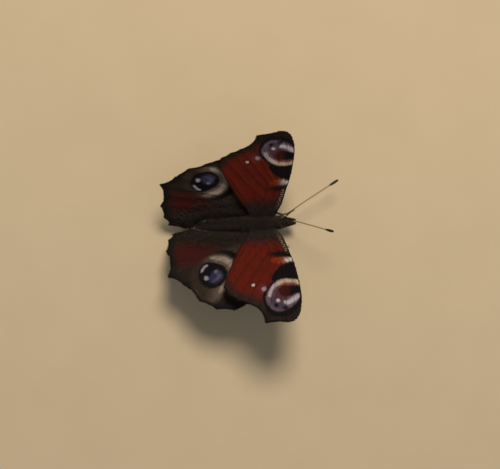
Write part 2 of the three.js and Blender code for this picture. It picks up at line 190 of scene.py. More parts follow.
@dataclass(frozen=True)
class Tail:
    """The abdomen: its rear and front as (x, z), its half sizes and its rings."""

    rear: tuple[float, float]
    front: tuple[float, float]
    half: tuple[float, float]
    rings: int
    groove: float

    def size(self, x: Array) -> tuple[Array, Array, Array]:
        """Give the height of the middle, the half width and the half height at x."""
        share = np.clip((x - self.rear[0]) / (self.front[0] - self.rear[0]), 0, 1)
        taper = np.sin(np.pi * np.minimum(0.5, 0.04 + 0.85 * share)) ** 0.62
        round_end = np.sqrt(np.clip(share / 0.035, 0, 1))
        front_round = np.sqrt(np.maximum(0, 1 - np.maximum(0, (share - 0.8) / 0.2) ** 2))
        waist = 1 - self.groove / self.half[0] * np.exp(-((self.from_groove(x) / 0.16) ** 2))
        full = taper * front_round * waist * round_end
        full = np.where((x < self.rear[0]) | (x > self.front[0]), 0, full)
        z = self.rear[1] + (self.front[1] - self.rear[1]) * share
        return z, self.half[0] * full, self.half[1] * full

    def from_groove(self, x: Array) -> Array:
        """Give the distance along X to the nearest groove between two rings."""
        length = (self.front[0] - self.rear[0]) / self.rings
        return np.abs((x - self.rear[0] + length / 2) % length - length / 2)


THORAX = Egg((-3.9, 5.3), (4.1, 5.5), (2.3, 2.5), 2.3)
HEAD = Egg((3.5, 5.5), (6.5, 5.3), (1.3, 1.35), 2.2)
ABDOMEN = Tail((-16.2, 4.3), (-2.6, 5.2), (1.42, 1.65), 7, 0.1)
ROW = RowFrame.measured()


@dataclass
class Shell:
    """A mesh in the making, with what its corners and points carry."""

    points: Array
    faces: list[tuple[int, ...]]
    corners: Array
    values: dict[str, Array] = field(default_factory=dict)

    @classmethod
    def lofted(
        cls, rings: Array, first: Array, last: Array, box: tuple[float, float, float, float] = (0, 0, 1, 1)
    ) -> "Shell":
        """Close a run of rings with a point at either end.

        Args:
            rings: Points as rings, sides and places, turning left-handed seen from the first end.
            first: The point that closes the first end.
            last: The point that closes the last end.
            box: Where its unwrap lies, as lowest and highest U and V.

        Returns:
            The closed shell, with its unwrap on its corners and "share", 0 to 1 along it.
        """
        count, sides = rings.shape[:2]
        points = np.concatenate([[first], rings.reshape(-1, 3), [last]])
        faces: list[tuple[int, ...]] = []
        unwrap: list[tuple[float, float]] = []

        def place(ring: float, side: float) -> tuple[float, float]:
            """Give the unwrap's place of a point on the loft."""
            u = box[0] + (box[2] - box[0]) * (ring + 1) / (count + 1)
            return u, box[1] + (box[3] - box[1]) * side / sides

        for side in range(sides):
            after = (side + 1) % sides
            faces.append((0, 1 + after, 1 + side))
            unwrap += [place(-1, side + 0.5), place(0, side + 1), place(0, side)]
            base = 1 + (count - 1) * sides
            faces.append((len(points) - 1, base + side, base + after))
            unwrap += [place(count, side + 0.5), place(count - 1, side), place(count - 1, side + 1)]
            for ring in range(count - 1):
                low, high = 1 + ring * sides, 1 + (ring + 1) * sides
                faces.append((low + side, low + after, high + after, high + side))
                unwrap += [
                    place(ring, side),
                    place(ring, side + 1),
                    place(ring + 1, side + 1),
                    place(ring + 1, side),
                ]
        share = np.concatenate([[0.0], np.repeat((np.arange(count) + 0.5) / count, sides), [1.0]])
        return cls(points, faces, np.array(unwrap), {"share": share})

    @classmethod
    def joined(cls, shells: Sequence["Shell"]) -> "Shell":
        """Put several shells that carry the same values into one."""
        faces: list[tuple[int, ...]] = []
        base = 0
        for shell in shells:
            faces += [tuple(base + i for i in face) for face in shell.faces]
            base += len(shell.points)
        values = {name: np.concatenate([s.values[name] for s in shells]) for name in shells[0].values}
        points = np.concatenate([s.points for s in shells])
        return cls(points, faces, np.concatenate([s.corners for s in shells]), values)

    def mesh(self, name: str, places: Array) -> bpy.types.Mesh:
        """Make Blender's mesh of the shell.

        Args:
            name: The mesh's name.
            places: The points' places as Blender has them.

        Returns:
            The mesh, with its unwrap and its values as attributes.
        """
        mesh = bpy.data.meshes.new(name)
        mesh.from_pydata(places.tolist(), [], self.faces)
        if len(self.corners):
            unwrap = mesh.uv_layers.new(name=BAKE_MAP)
            unwrap.data.foreach_set("uv", self.corners.astype(np.float32).ravel())
        for label, values in self.values.items():
            kind, key = ("FLOAT", "value") if values.ndim == 1 else ("FLOAT_VECTOR", "vector")
            mesh.attributes.new(label, kind, "POINT").data.foreach_set(
                key, values.astype(np.float32).ravel(),
            )
        mesh.shade_smooth()
        mesh.update()
        return mesh

    def piece(self, name: str, material: bpy.types.Material) -> bpy.types.Object:
        """Make an object of the shell, in the row's frame."""
        mesh = self.mesh(name, ROW.metres(self.points))
        mesh.materials.append(material)
        return linked(name, mesh)

    def triangles(self) -> tuple[Array, Array]:
        """Give the shell's triangles as point numbers and as corner numbers."""
        by_point, by_corner = [], []
        corner = 0
        for face in self.faces:
            for k in range(1, len(face) - 1):
                by_point.append((face[0], face[k], face[k + 1]))
                by_corner.append((corner, corner + k, corner + k + 1))
            corner += len(face)
        return np.array(by_point), np.array(by_corner)


def linked(name: str, mesh: bpy.types.Mesh) -> bpy.types.Object:
    """Put a mesh into the scene as an object at the origin."""
    piece = bpy.data.objects.new(name, mesh)
    bpy.context.scene.collection.objects.link(piece)
    return piece


def tube(
    path: Array,
    radius: Array,
    sides: int,
    box: tuple[float, float, float, float] = (0, 0, 1, 1),
    flat: float = 1.0
) -> Shell:
    """Make a round bar along a path.

    Args:
        path: The middle of each ring.
        radius: The radius at each ring.
        sides: Points in a ring.
        box: Where its unwrap lies.
        flat: Height of a ring as a share of its width.

    Returns:
        The closed bar, with "along", millimetres from its root.
    """
    ahead = unit(np.gradient(path, axis=0))
    across = unit(np.cross(ahead[0], (0.0, 0.0, 1.0)) + 1e-6)
    turn = np.linspace(0, 2 * math.pi, sides, endpoint=False)
    rings = []
    for middle, way, size in zip(path, ahead, radius):
        across = unit(across - way * float(np.dot(across, way)))
        up = np.cross(way, across)
        rings.append(middle + size * (np.cos(turn)[:, None] * across + flat * np.sin(turn)[:, None] * up))
    first = path[0] - ahead[0] * radius[0] * 0.5
    last = path[-1] + ahead[-1] * radius[-1] * 0.6
    shell = Shell.lofted(np.array(rings), first, last, box)
    lengths = np.concatenate([[0.0], np.cumsum(np.linalg.norm(np.diff(path, axis=0), axis=1))])
    shell.values["along"] = np.concatenate([[0.0], np.repeat(lengths, sides), lengths[-1:]])
    shell.values["home"] = shell.points.copy()
    return shell


@dataclass
class Roots:
    """Where tufts grow: place, facing, unwrap, lie, length, and what each carries to its tuft."""

    points: Array
    facing: Array
    unwrap: Array
    values: dict[str, Array] = field(default_factory=dict)
    lie: Array | None = None
    length: Array | None = None

    @classmethod
    def scattered(
        cls, shell: Shell, count: int, seed: int, weight: Callable[[Array, Array], Array] | None = None
    ) -> "Roots":
        """Spread roots over a shell.

        Args:
            shell: What they grow on.
            count: How many there are.
            seed: Fixes the draw.
            weight: Gives how thick they stand from the middles and normals of triangles.

        Returns:
            The roots, with the shell's values at their places.
        """
        draw = np.random.default_rng(seed)
        by_point, by_corner = shell.triangles()
        a, b, c = (shell.points[by_point[:, k]] for k in range(3))
        cross = np.cross(b - a, c - a)
        area = np.linalg.norm(cross, axis=1)
        normal = unit(cross)
        chance = area * (weight((a + b + c) / 3, normal) if weight else 1.0)
        chosen = draw.choice(len(area), count, p=chance / chance.sum())
        u, v = draw.random(count), draw.random(count)
        fold = u + v > 1
        u, v = np.where(fold, 1 - u, u), np.where(fold, 1 - v, v)
        mix = np.stack([1 - u - v, u, v], axis=1)
        points = (shell.points[by_point[chosen]] * mix[..., None]).sum(1)
        unwrap = (shell.corners[by_corner[chosen]] * mix[..., None]).sum(1)
        values = {}
        for name, value in shell.values.items():
            at = value[by_point[chosen]]
            values[name] = (at * (mix if at.ndim == 2 else mix[..., None])).sum(1)
        return cls(points, normal[chosen], unwrap, values)

    def comb(self, way: Array, lift: Array | float, length: Array | float) -> "Roots":
        """Lay the tufts along the surface.

        Args:
            way: The direction that each would take, which need not lie in the surface.
            lift: Degrees that each stands off the surface.
            length: Its length in millimetres.

        Returns:
            These roots.
        """
        flat = unit(way - self.facing * (way * self.facing).sum(1, keepdims=True))
        rise = np.radians(np.broadcast_to(lift, len(self.points)))[:, None]
        self.lie = flat * np.cos(rise) + self.facing * np.sin(rise)
        self.length = np.broadcast_to(length, len(self.points)).astype(float)
        return self

    @classmethod
    def together(cls, groups: Sequence["Roots"]) -> "Roots":
        """Join groups of combed roots, keeping the values that all of them carry."""
        names = set.intersection(*(set(g.values) for g in groups))
        values = {name: np.concatenate([g.values[name] for g in groups]) for name in sorted(names)}
        parts = [
            np.concatenate([getattr(g, key) for g in groups]) for key in ("points", "facing", "unwrap")
        ]
        lie, length = (np.concatenate([getattr(g, key) for g in groups]) for key in ("lie", "length"))
        return cls(*parts, values, lie, length)


def add_node(
    tree: bpy.types.NodeTree,
    kind: str,
    settings: dict[str, Any] | None = None,
    inputs: dict[str | int, Any] | None = None,
) -> bpy.types.Node:
    """Add a node to a tree.

    Args:
        tree: The tree.
        kind: The node's type.
        settings: Its own properties.
        inputs: For its sockets, by name or number, a value or the socket that feeds it.

    Returns:
        The node.
    """
    node = tree.nodes.new(kind)
    for key, value in (settings or {}).items():
        setattr(node, key, value)
    for key, value in (inputs or {}).items():
        if isinstance(value, bpy.types.NodeSocket):
            tree.links.new(value, node.inputs[key])
        else:
            node.inputs[key].default_value = value
    return node


class TuftKind(Enum):
    """What stands on one root."""

    HAIR = "hair"
    DOWN = "down"
    SCALE = "scale"


@dataclass(frozen=True)
class Tuft:
    """A small clump, one unit long, that is set on every root."""

    kind: TuftKind
    hairs: int = 5
    radius: float = 0.016
    spread: float = 0.07
    lean: float = 0.22
    seed: int = 5

    def hair(self, draw: np.random.Generator, index: int) -> Shell:
        """Make one hair that tapers to a point."""
        base = np.append(draw.normal(0, self.spread, 2), 0.0)
        way = np.append(draw.normal(0, self.lean, 2), 1.0)
        bend = np.append(draw.normal(0, 0.08, 2), 0.0)
        height = draw.uniform(0.7, 1.0)
        turn = np.linspace(0, 2 * math.pi, 3, endpoint=False) + draw.uniform(0, 2)
        ring = np.stack([np.cos(turn), np.sin(turn), np.zeros(3)], axis=1)
        points = []
        for share, size in ((0.0, 1.0), (0.55, 0.72)):
            points.append(base + way * height * share + bend * share**2 + ring * self.radius * size)
        points.append((base + way * height + bend)[None])
        faces = [(0, 2, 1)]
        for k in range(3):
            after = (k + 1) % 3
            faces += [(k, after, 3 + after, 3 + k), (3 + k, 3 + after, 6)]
        along = np.array([0, 0, 0, 0.55, 0.55, 0.55, 1.0])
        place = np.stack([(index + np.tile([0.1, 0.5, 0.9], 3)[:7]) / self.hairs, along, 0 * along], axis=1)
        return Shell(np.concatenate(points), faces, np.zeros((0, 2)), {"tip": along, "tuft_place": place})

    def scale(self) -> Shell:
        """Make one wing scale: a thin blade with a rounded end, arched across."""
        outline = [
            (-0.16, 0.0), (-0.36, 0.45), (-0.26, 0.93), (0.0, 1.0), (0.26, 0.93), (0.36, 0.45), (0.16, 0.0),
        ]
        points = [(x, -0.03, z) for x, z in outline] + [(0.0, 0.06, 0.5)]
        faces: list[tuple[int, ...]] = [(6, 5, 4, 3, 2, 1, 0)]
        faces += [(k, (k + 1) % 7, 7) for k in range(7)]
        along = np.array([z for _, z in outline] + [0.5])
        place = np.array([(x + 0.5, z, 0) for x, z in outline] + [(0.5, 0.5, 0)])
        return Shell(np.array(points), faces, np.zeros((0, 2)), {"tip": along, "tuft_place": place})

    def source(self) -> bpy.types.Object:
        """Make the object that the coat's tree copies."""
        draw = np.random.default_rng(self.seed)
        if self.kind is TuftKind.SCALE:
            shell = self.scale()
        else:
            shell = Shell.joined([self.hair(draw, k) for k in range(self.hairs)])
        return linked("tuft_" + self.kind.value, shell.mesh("tuft_" + self.kind.value, shell.points))


class CoatTree:
    """The Geometry Nodes tree that sets a tuft on every root."""

    INPUTS = (
        ("Tuft", "NodeSocketObject"),
        ("Finish", "NodeSocketMaterial"),
        ("Thickness", "NodeSocketFloat"),
        ("Uneven", "NodeSocketFloat"),
        ("Stray", "NodeSocketFloat"),
        ("Seed", "NodeSocketInt"),
    )

    def __init__(self) -> None:
        """Build the tree once for all the coats."""
        tree = bpy.data.node_groups.new("coat", "GeometryNodeTree")
        self.tree = tree
        tree.interface.new_socket("Roots", in_out="INPUT", socket_type="NodeSocketGeometry")
        self.keys = {
            n: tree.interface.new_socket(n, in_out="INPUT", socket_type=k).identifier for n,
            k in self.INPUTS
        }
        tree.interface.new_socket("Coat", in_out="OUTPUT", socket_type="NodeSocketGeometry")
        given = add_node(tree, "NodeGroupInput").outputs
        read = {"data_type": "FLOAT_VECTOR"}
        lie = add_node(tree, "GeometryNodeInputNamedAttribute", read, {"Name": "lie"}).outputs["Attribute"]
        facing = add_node(
            tree, "GeometryNodeInputNamedAttribute", read, {"Name": "facing"},
        ).outputs["Attribute"]
        length = add_node(
            tree, "GeometryNodeInputNamedAttribute", {"data_type": "FLOAT"}, {"Name": "length"},
        )
        wander = add_node(
            tree,
            "FunctionNodeRandomValue",
            {"data_type": "FLOAT_VECTOR"},
            {0: (-1, -1, -1), 1: (1, 1, 1), 8: given["Seed"]}
        )
        drift = add_node(
            tree,
            "ShaderNodeVectorMath",
            {"operation": "SCALE"},
            {0: wander.outputs[0], "Scale": given["Stray"]}
        )
        way = add_node(tree, "ShaderNodeVectorMath", {"operation": "ADD"}, {0: lie, 1: drift.outputs[0]})
        stand = add_node(
            tree, "FunctionNodeAlignRotationToVector", {"axis": "Z"}, {"Vector": way.outputs[0]},
        )
        turned = add_node(
            tree,
            "FunctionNodeAlignRotationToVector",
            {"axis": "Y", "pivot_axis": "Z"},
            {"Rotation": stand.outputs[0], "Vector": facing},
        )
        least = add_node(tree, "ShaderNodeMath", {"operation": "SUBTRACT"}, {0: 1.0, 1: given["Uneven"]})
        chance = add_node(
            tree,
            "FunctionNodeRandomValue",
            {"data_type": "FLOAT"},
            {2: least.outputs[0], 3: 1.0, 8: given["Seed"]}
        )
        tall = add_node(
            tree,
            "ShaderNodeMath",
            {"operation": "MULTIPLY"},
            {0: length.outputs["Attribute"], 1: chance.outputs[1]}
        )
        wide = add_node(
            tree, "ShaderNodeMath", {"operation": "MULTIPLY"}, {0: tall.outputs[0], 1: given["Thickness"]},
        )
        size = add_node(
            tree, "ShaderNodeCombineXYZ", None, {0: wide.outputs[0], 1: wide.outputs[0], 2: tall.outputs[0]}
        )
        tuft = add_node(tree, "GeometryNodeObjectInfo", None, {"Object": given["Tuft"]})
        copies = add_node(
            tree,
            "GeometryNodeInstanceOnPoints",
            None,
            {
                "Points": given["Roots"],
                "Instance": tuft.outputs["Geometry"],
                "Rotation": turned.outputs[0],
                "Scale": size.outputs[0],
            },
        )
        real = add_node(tree, "GeometryNodeRealizeInstances", None, {0: copies.outputs[0]})
        root = add_node(
            tree, "GeometryNodeInputNamedAttribute", read, {"Name": "root_place"},
        ).outputs["Attribute"]
        own = add_node(
            tree, "GeometryNodeInputNamedAttribute", read, {"Name": "tuft_place"},
        ).outputs["Attribute"]
        small = add_node(tree, "ShaderNodeVectorMath", {"operation": "SCALE"}, {0: own, "Scale": PATCH})
        place = add_node(tree, "ShaderNodeVectorMath", {"operation": "ADD"}, {0: root, 1: small.outputs[0]})
        stored = add_node(
            tree,
            "GeometryNodeStoreNamedAttribute",
            {"data_type": "FLOAT2", "domain": "CORNER"},
            {"Geometry": real.outputs[0], "Name": BAKE_MAP, "Value": place.outputs[0]},
        )
        dressed = add_node(
            tree,
            "GeometryNodeSetMaterial",
            None,
            {"Geometry": stored.outputs[0], "Material": given["Finish"]}
        )
        add_node(tree, "NodeGroupOutput", None, {0: dressed.outputs[0]})

    def grow(
        self,
        name: str,
        roots: Roots,
        tuft: Tuft,
        material: bpy.types.Material,
        thickness: float = 1.0,
        uneven: float = 0.3,
        stray: float = 0.15,
        seed: int = 1,
    ) -> bpy.types.Object:
        """Grow one coat and turn it into a plain mesh.

        Args:
            name: The piece's name.
            roots: Combed roots.
            tuft: What stands on each.
            material: Its finish.
            thickness: Width of a tuft as a share of its own proportions.
            uneven: Greatest share of its length that a tuft lacks.
            stray: How far tufts leave the lie.
            seed: Fixes the tree's draws.

        Returns:
            The coat's object, in the row's frame.
        """
        values = dict(roots.values)
        values["lie"], values["facing"] = roots.lie, roots.facing
        values["length"] = roots.length * MM
        values["root_place"] = np.column_stack([roots.unwrap, np.zeros(len(roots.points))])
        base = Shell(roots.points, [], np.zeros((0, 2)), values)
        holder = linked("roots", base.mesh("roots", ROW.metres(roots.points)))
        source = tuft.source()
        modifier = holder.modifiers.new("coat", "NODES")
        modifier.node_group = self.tree
        settings = dict(
            Tuft=source, Finish=material, Thickness=thickness, Uneven=uneven, Stray=stray, Seed=seed,
        )
        for key, value in settings.items():
            modifier[self.keys[key]] = value
        bpy.context.view_layer.update()
        graph = bpy.context.evaluated_depsgraph_get()
        mesh = bpy.data.meshes.new_from_object(
            holder.evaluated_get(graph), preserve_all_data_layers=True, depsgraph=graph
        )
        mesh.name = name
        for spent in ("lie", "facing", "length", "root_place", "tuft_place"):
            if spent in mesh.attributes:
                mesh.attributes.remove(mesh.attributes[spent])
        holder.modifiers.clear()
        bpy.data.objects.remove(holder)
        bpy.data.objects.remove(source)
        return linked(name, mesh)


def ride(piece: bpy.types.Object, slot: str, *nodes: str) -> bpy.types.Object:
    """Fix a piece to the still body, hide the nodes that it stands for, and report it."""
    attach(piece, BODY)
    if nodes:
        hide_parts(*nodes)
    log.info("%s: %d faces", piece.name, len(piece.data.polygons))
    return piece


def new_material(name: str) -> tuple[bpy.types.Material, bpy.types.NodeTree]:
    """Make an empty node material and give it with its tree."""
    material = bpy.data.materials.new(name)
    material.use_nodes = True
    material.node_tree.nodes.clear()
    return material, material.node_tree


def finish_with(
    tree: bpy.types.NodeTree,
    colour: Socket | tuple[float, ...],
    bump: Socket | None = None,
    depth: float = 0.0,
    sockets: dict[str, Any] | None = None,
) -> None:
    """End a material with its shader.

    Args:
        tree: The material's tree.
        colour: Its base colour.
        bump: Height that the light plays on, if any.
        depth: Depth of that height in metres.
        sockets: Other sockets of the shader.
    """
    inputs: dict[str | int, Any] = {"Base Color": colour, **(sockets or {})}
    if bump is not None:
        raised = add_node(
            tree, "ShaderNodeBump", None, {"Strength": 1.0, "Distance": depth, "Height": bump},
        )
        inputs["Normal"] = raised.outputs["Normal"]
    shader = add_node(tree, "ShaderNodeBsdfPrincipled", None, inputs)
    add_node(tree, "ShaderNodeOutputMaterial", None, {"Surface": shader.outputs[0]})


class Axis(Enum):
    """A measure of the wing that a marking reads besides its own outline."""

    VEIN = "vein"
    MARGIN = "margin"
    COSTA = "costa"
    INNER = "inner"


@dataclass(frozen=True)
class Fade:
    """A turn from a marking's colour to another, along a direction of the wing's plane."""

    colour: str
    x: float
    t: float
    start: float
    end: float


@dataclass(frozen=True)
class Mark:
    """One marking: where it is, and how its scales are coloured there.

    It covers what lies within its outline, or within a distance of one of the wing's lines.
    """

    name: str
    colour: str
    where: tuple[tuple[float, float], ...] | Axis
    within: float = 0.0
    soft: float = 0.12
    ragged: float = 0.14
    strength: float = 1.0
    fade: Fade | None = None

    def attribute(self) -> str:
        """Name the attribute that holds the distance from it."""
        return self.where.value if isinstance(self.where, Axis) else "from_" + self.name


@dataclass(frozen=True)
class WingPlan:
    """A wing laid flat: its edges, its veins and its markings, as (x, t) with t outwards."""

    name: str
    costa: Points
    margin: Points
    dips: Sequence[float]
    inner: Points
    veins: dict[str, Points]
    curl_line: tuple[float, float, float]
    ground: str
    marks: tuple[Mark, ...]
    hub: tuple[float, float]

    def edges(self, step: float) -> tuple[Array, Array, Array]:
        """Give the front, outer and inner edges as lines that join end to end."""
        front = smooth_line(self.costa, step)
        outer = []
        for start, end, dip in zip(self.margin, self.margin[1:], self.dips):
            a, along = np.array(start), np.subtract(end, start)
            inward = unit(np.array([along[1], -along[0]]))
            share = np.linspace(
                0, 1, max(3, round(float(np.linalg.norm(along)) / step)), endpoint=False,
            )[:, None]
            outer.append(a + along * share - inward * 4 * dip * share * (1 - share))
        outer.append(np.array(self.margin[-1])[None])
        return front, np.concatenate(outer), smooth_line(self.inner, step)

    def outline(self, step: float) -> Array:
        """Give the closed outline, without repeating its start."""
        front, outer, inner = self.edges(step)
        return np.concatenate([front[:-1], outer[:-1], inner])


@dataclass(frozen=True)
class WingHold:
    """How one wing is held: slopes at root and tip in degrees, its small bends, and where its eye sits."""

    side: int
    above: float
    root: float
    tip: float
    twist: float = 0.0
    forward: float = 0.0
    reach: float = 0.0
    tuck: float = 0.0
    pinch: float = 0.0
    curl: float = 0.0
    eye_shift: tuple[float, float] = (0.0, 0.0)


FORE_MARKS = (
    Mark("base_dusk", "#2a1b12", ((-5.6, 3.6), (-2.0, 4.6), (2.0, 4.8), (6.0, 5.2), (6.0, -2.0),
    (-4.0, -2.0)), 0, 1.7,
         0.6, 0.9),
    Mark("costa_zone", "#1c1410", Axis.COSTA, 1.2, 0.35, 0.25, 0.95),
    Mark("outer_zone", "#2b1d15", Axis.MARGIN, 1.9, 1.0, 0.5, 1.0, Fade("#21150f", 0.0, 1.0, 20.0, 12.0)),
    Mark(
        "spot_halo",
        "#5b2b2e",
        ((-1.6, 20.7), (0.3, 21.3), (1.0, 19.6), (0.0, 18.3), (-1.5, 18.8)),
        0,
        0.5,
        0.2,
        0.7,
    ),
    Mark("bar_shade", "#2a0805", ((0.6, 9.2), (2.6, 10.3), (5.6, 10.3), (7.2, 9.9), (5.5, 8.2),
    (2.6, 8.3)), 0, 0.5,
         0.2, 0.7),
    Mark(
        "bar",
        "#080303",
        ((1.9, 9.3), (4.0, 10.0), (6.8, 10.3), (7.0, 9.5), (5.3, 8.8), (3.2, 8.9)),
        0,
        0.2,
    ),
    Mark(
        "wedge", "#b9aca0",
        (
            (1.6, 11.3),
            (3.2, 12.5),
            (4.9, 12.5),
            (6.4, 12.0),
            (7.7, 11.9),
            (7.4, 11.0),
            (5.9, 10.7),
            (3.8, 10.7),
        ),
        0, 0.38, 0.2, 0.95, Fade("#8a3213", 1.0, 0.0, 6.4, 3.9),
    ),
    Mark(
        "wedge_core", "#cfc8c2", ((5.0, 11.6), (5.9, 11.9), (7.5, 11.7), (7.3, 11.0), (6.3, 11.0)), 0, 0.3,
    ),
    Mark(
        "patch", "#050203",
        ((1.7, 17.3), (2.2, 15.6), (3.5, 13.9), (5.2, 12.8), (6.8, 12.3), (8.6, 13.6), (9.2, 18.6),
        (6.6, 17.6),
         (4.6, 17.4), (3.0, 17.9)),
        0, 0.18, 0.15, 1.0, Fade("#1f140d", 1.0, 0.0, 6.9, 8.0),
    ),
    Mark("tip_zone", "#21150f", ((-0.6, 25.4), (-0.6, 29.5), (9.6, 29.5), (9.6, 21.5), (5.0, 22.5),
    (2.0, 24.0)), 0, 0.8,
         0.4, 0.95),
    Mark(
        "eye_rim", "#070406",
        ((-0.6, 21.9), (-0.2, 24.4), (1.1, 26.5), (3.4, 27.1), (5.8, 26.7), (7.8, 25.1), (9.4, 22.6),
        (9.4, 18.4),
         (7.6, 17.3), (5.2, 16.7), (3.0, 17.1), (1.1, 18.7), (-0.1, 20.4)),
        0, 0.2, 0.2,
    ),
    Mark(
        "ring", "#67525f",
        ((0.1, 22.0), (0.5, 23.9), (1.7, 25.3), (3.5, 25.8), (5.7, 25.1), (7.4, 23.8), (8.25, 22.2),
        (8.3, 18.6),
         (7.4, 17.6), (5.4, 17.1), (3.4, 17.4), (1.8, 18.8), (0.7, 20.4)),
        0, 0.22, 0.16,
    ),
    Mark("ring_shade", "#3f3145", ((1.3, 22.3), (1.6, 24.2), (3.0, 25.1), (4.8, 24.7), (5.0, 23.6),
    (3.4, 23.2),
                                   (2.2, 21.9)), 0, 0.35, 0.5, 0.75),
    Mark("ring_band", "#bdb3bd", ((4.3, 23.4), (5.1, 24.2), (6.8, 23.6), (8.2, 22.4), (8.1, 21.5),
    (7.1, 21.9),
                                  (5.8, 22.9)), 0, 0.24),
    Mark(
        "ring_arm", "#b3a5a8",
        ((0.7, 21.8), (1.2, 22.1), (1.8, 20.5), (3.0, 19.1), (4.8, 18.3), (6.6, 18.4), (8.6, 19.0),
        (8.5, 17.9),
         (6.8, 17.4), (5.0, 17.2), (3.1, 17.8), (1.7, 19.1), (0.9, 20.5)),
        0, 0.2, 0.14, 1.0, Fade("#c3a98d", 0.4, -1.0, -18.4, -15.6),
    ),
    Mark("arm_warm", "#7d4625", ((3.4, 19.2), (4.6, 18.5), (6.2, 18.3), (7.6, 18.7), (6.6, 19.3),
    (4.8, 19.4)), 0, 0.3,
         0.15, 0.75),
    Mark("blush", "#4c272a", ((2.2, 20.9), (2.4, 22.6), (4.0, 23.1), (5.4, 22.5), (5.0, 19.5),
    (3.4, 19.2)), 0, 0.4, 0.2,
         0.85),
    Mark(
        "core", "#3f0e07",
        ((3.3, 20.0), (3.5, 21.3), (4.6, 22.1), (6.2, 22.0), (7.5, 21.4), (9.0, 21.1), (9.0, 19.7),
        (7.6, 19.2),
         (5.8, 19.0), (4.2, 19.1)),
        0, 0.3, 0.2, 1.0, Fade("#050203", 1.0, 0.1, 6.8, 9.2),
    ),
    Mark(
        "dot_inner",
        "#0b0710",
        ((2.0, 24.0), (2.4, 24.7), (3.1, 24.5), (2.9, 23.9), (2.3, 23.6)),
        0,
        0.16,
        0.1,
    ),
    Mark("dot_outer", "#0b0710", ((3.8, 25.0), (4.8, 25.4), (5.6, 25.0), (4.8, 24.6)), 0, 0.16, 0.1),
    Mark(
        "gleam", "#c6bdca", ((2.6, 23.1), (3.1, 23.4), (3.5, 22.9), (3.2, 22.5), (2.7, 22.6)), 0, 0.22, 0.1,
    ),
    Mark("spot_rim", "#2b0806", ((-3.5, 18.5), (-2.8, 19.3), (-2.0, 18.7), (-2.6, 17.8)), 0, 0.2, 0.1, 0.8),
    Mark("spot_far", "#d3b4ab", ((-3.2, 18.4), (-2.8, 18.95), (-2.3, 18.6), (-2.7, 18.05)), 0, 0.14, 0.06),
    Mark(
        "spot_near",
        "#a9868d",
        ((-0.8, 19.7), (-0.2, 20.4), (0.4, 19.9), (0.1, 19.2), (-0.5, 19.2)),
        0,
        0.24,
        0.08,
    ),
    Mark("inner_edge", "#2a0c08", Axis.INNER, 0.25, 0.25, 0.2, 0.8),
    Mark("costa_edge", "#140d0a", Axis.COSTA, 0.22, 0.12, 0.1),
    Mark("outer_edge", "#0e0806", Axis.MARGIN, 0.3, 0.22, 0.2),
)

HIND_MARKS = (
    Mark("field", "#420f09", ((-22.6, 8.8), (-19.6, 9.4), (-16.6, 9.2), (-13.6, 7.0), (-12.0, 4.2),
    (-15.6, 2.4),
                              (-20.4, 2.4), (-22.8, 4.2)), 0, 1.5, 0.6, 0.95),
    Mark("base_pale", "#493a2e", ((-9.5, 5.0), (-7.5, 7.4), (-4.2, 8.6), (-3.0, 6.2), (-4.8, 3.8),
    (-7.6, 3.4)), 0, 1.1,
         0.4, 0.85),
    Mark("outer_zone", "#130d0b", Axis.MARGIN, 1.5, 1.0, 0.7, 0.95),
    Mark(
        "patch", "#050304",
        (
            (-12.2, 5.4),
            (-10.4, 6.3),
            (-8.4, 7.7),
            (-6.9, 10.4),
            (-5.2, 9.6),
            (-5.7, 7.6),
            (-7.4, 6.2),
            (-9.6, 5.3),
        ),
        0, 0.3, 0.25,
    ),
    Mark(
        "ring", "#64554a",
        ((-18.6, 11.6), (-18.5, 15.4), (-16.6, 18.4), (-13.6, 18.9), (-10.6, 17.2), (-8.2, 14.2),
        (-7.3, 11.0),
         (-8.2, 8.2), (-10.6, 6.6), (-13.2, 6.6), (-15.8, 8.0), (-17.5, 9.6)),
        0, 0.6, 0.2, 0.95, Fade("#34281f", -1.0, 0.1, 12.8, 17.6),
    ),
    Mark(
        "ring_bright", "#a39486",
        ((-12.0, 17.2), (-9.4, 15.2), (-8.0, 12.4), (-7.9, 9.8), (-9.3, 7.7), (-11.8, 7.0), (-13.8, 7.3),
         (-13.2, 8.0), (-10.8, 8.6), (-9.3, 10.2), (-8.9, 12.2), (-9.8, 14.2), (-11.6, 15.9)),
        0, 0.42, 0.2, 0.9,
    ),
    Mark(
        "disc", "#040306",
        ((-16.9, 12.4), (-16.4, 14.3), (-14.8, 15.9), (-12.8, 16.0), (-10.9, 14.7), (-9.7, 12.5),
        (-10.3, 10.4),
         (-12.2, 9.1), (-14.6, 8.9), (-16.3, 10.3)),
        0, 0.22, 0.18,
    ),
    Mark("blue", "#332f49", ((-14.3, 13.8), (-13.3, 14.9), (-11.9, 14.5), (-10.7, 12.9), (-11.1, 11.7),
    (-12.2, 11.0),
                             (-13.3, 11.5), (-13.9, 12.6)), 0, 0.35, 0.35),
    Mark("blue_light", "#5b5772", ((-13.4, 14.3), (-12.1, 14.1), (-11.1, 12.9), (-11.6, 12.0),
    (-12.2, 12.3),
                                   (-12.6, 13.4)), 0, 0.4, 0.4, 0.75),
    Mark("blue_gleam", "#7d7795", ((-13.0, 11.9), (-12.4, 12.1), (-12.0, 11.4), (-12.5, 11.1),
    (-12.9, 11.4)), 0, 0.22,
         0.15, 0.8),
    Mark(
        "glint",
        "#9990a4",
        ((-15.5, 13.4), (-15.0, 13.9), (-14.4, 13.4), (-14.6, 12.8), (-15.2, 12.7)),
        0,
        0.22,
        0.12,
    ),
    Mark("streak", "#9a929f", ((-16.3, 11.5), (-16.0, 11.7), (-15.1, 10.3), (-14.4, 9.7), (-14.5, 9.4),
    (-15.5, 9.9)),
         0, 0.16, 0.12),
    Mark("base_dusk", "#241811", Axis.INNER, 2.2, 2.0, 0.6, 0.7),
    Mark("edge", "#070404", Axis.MARGIN, 0.32, 0.25, 0.2),
)

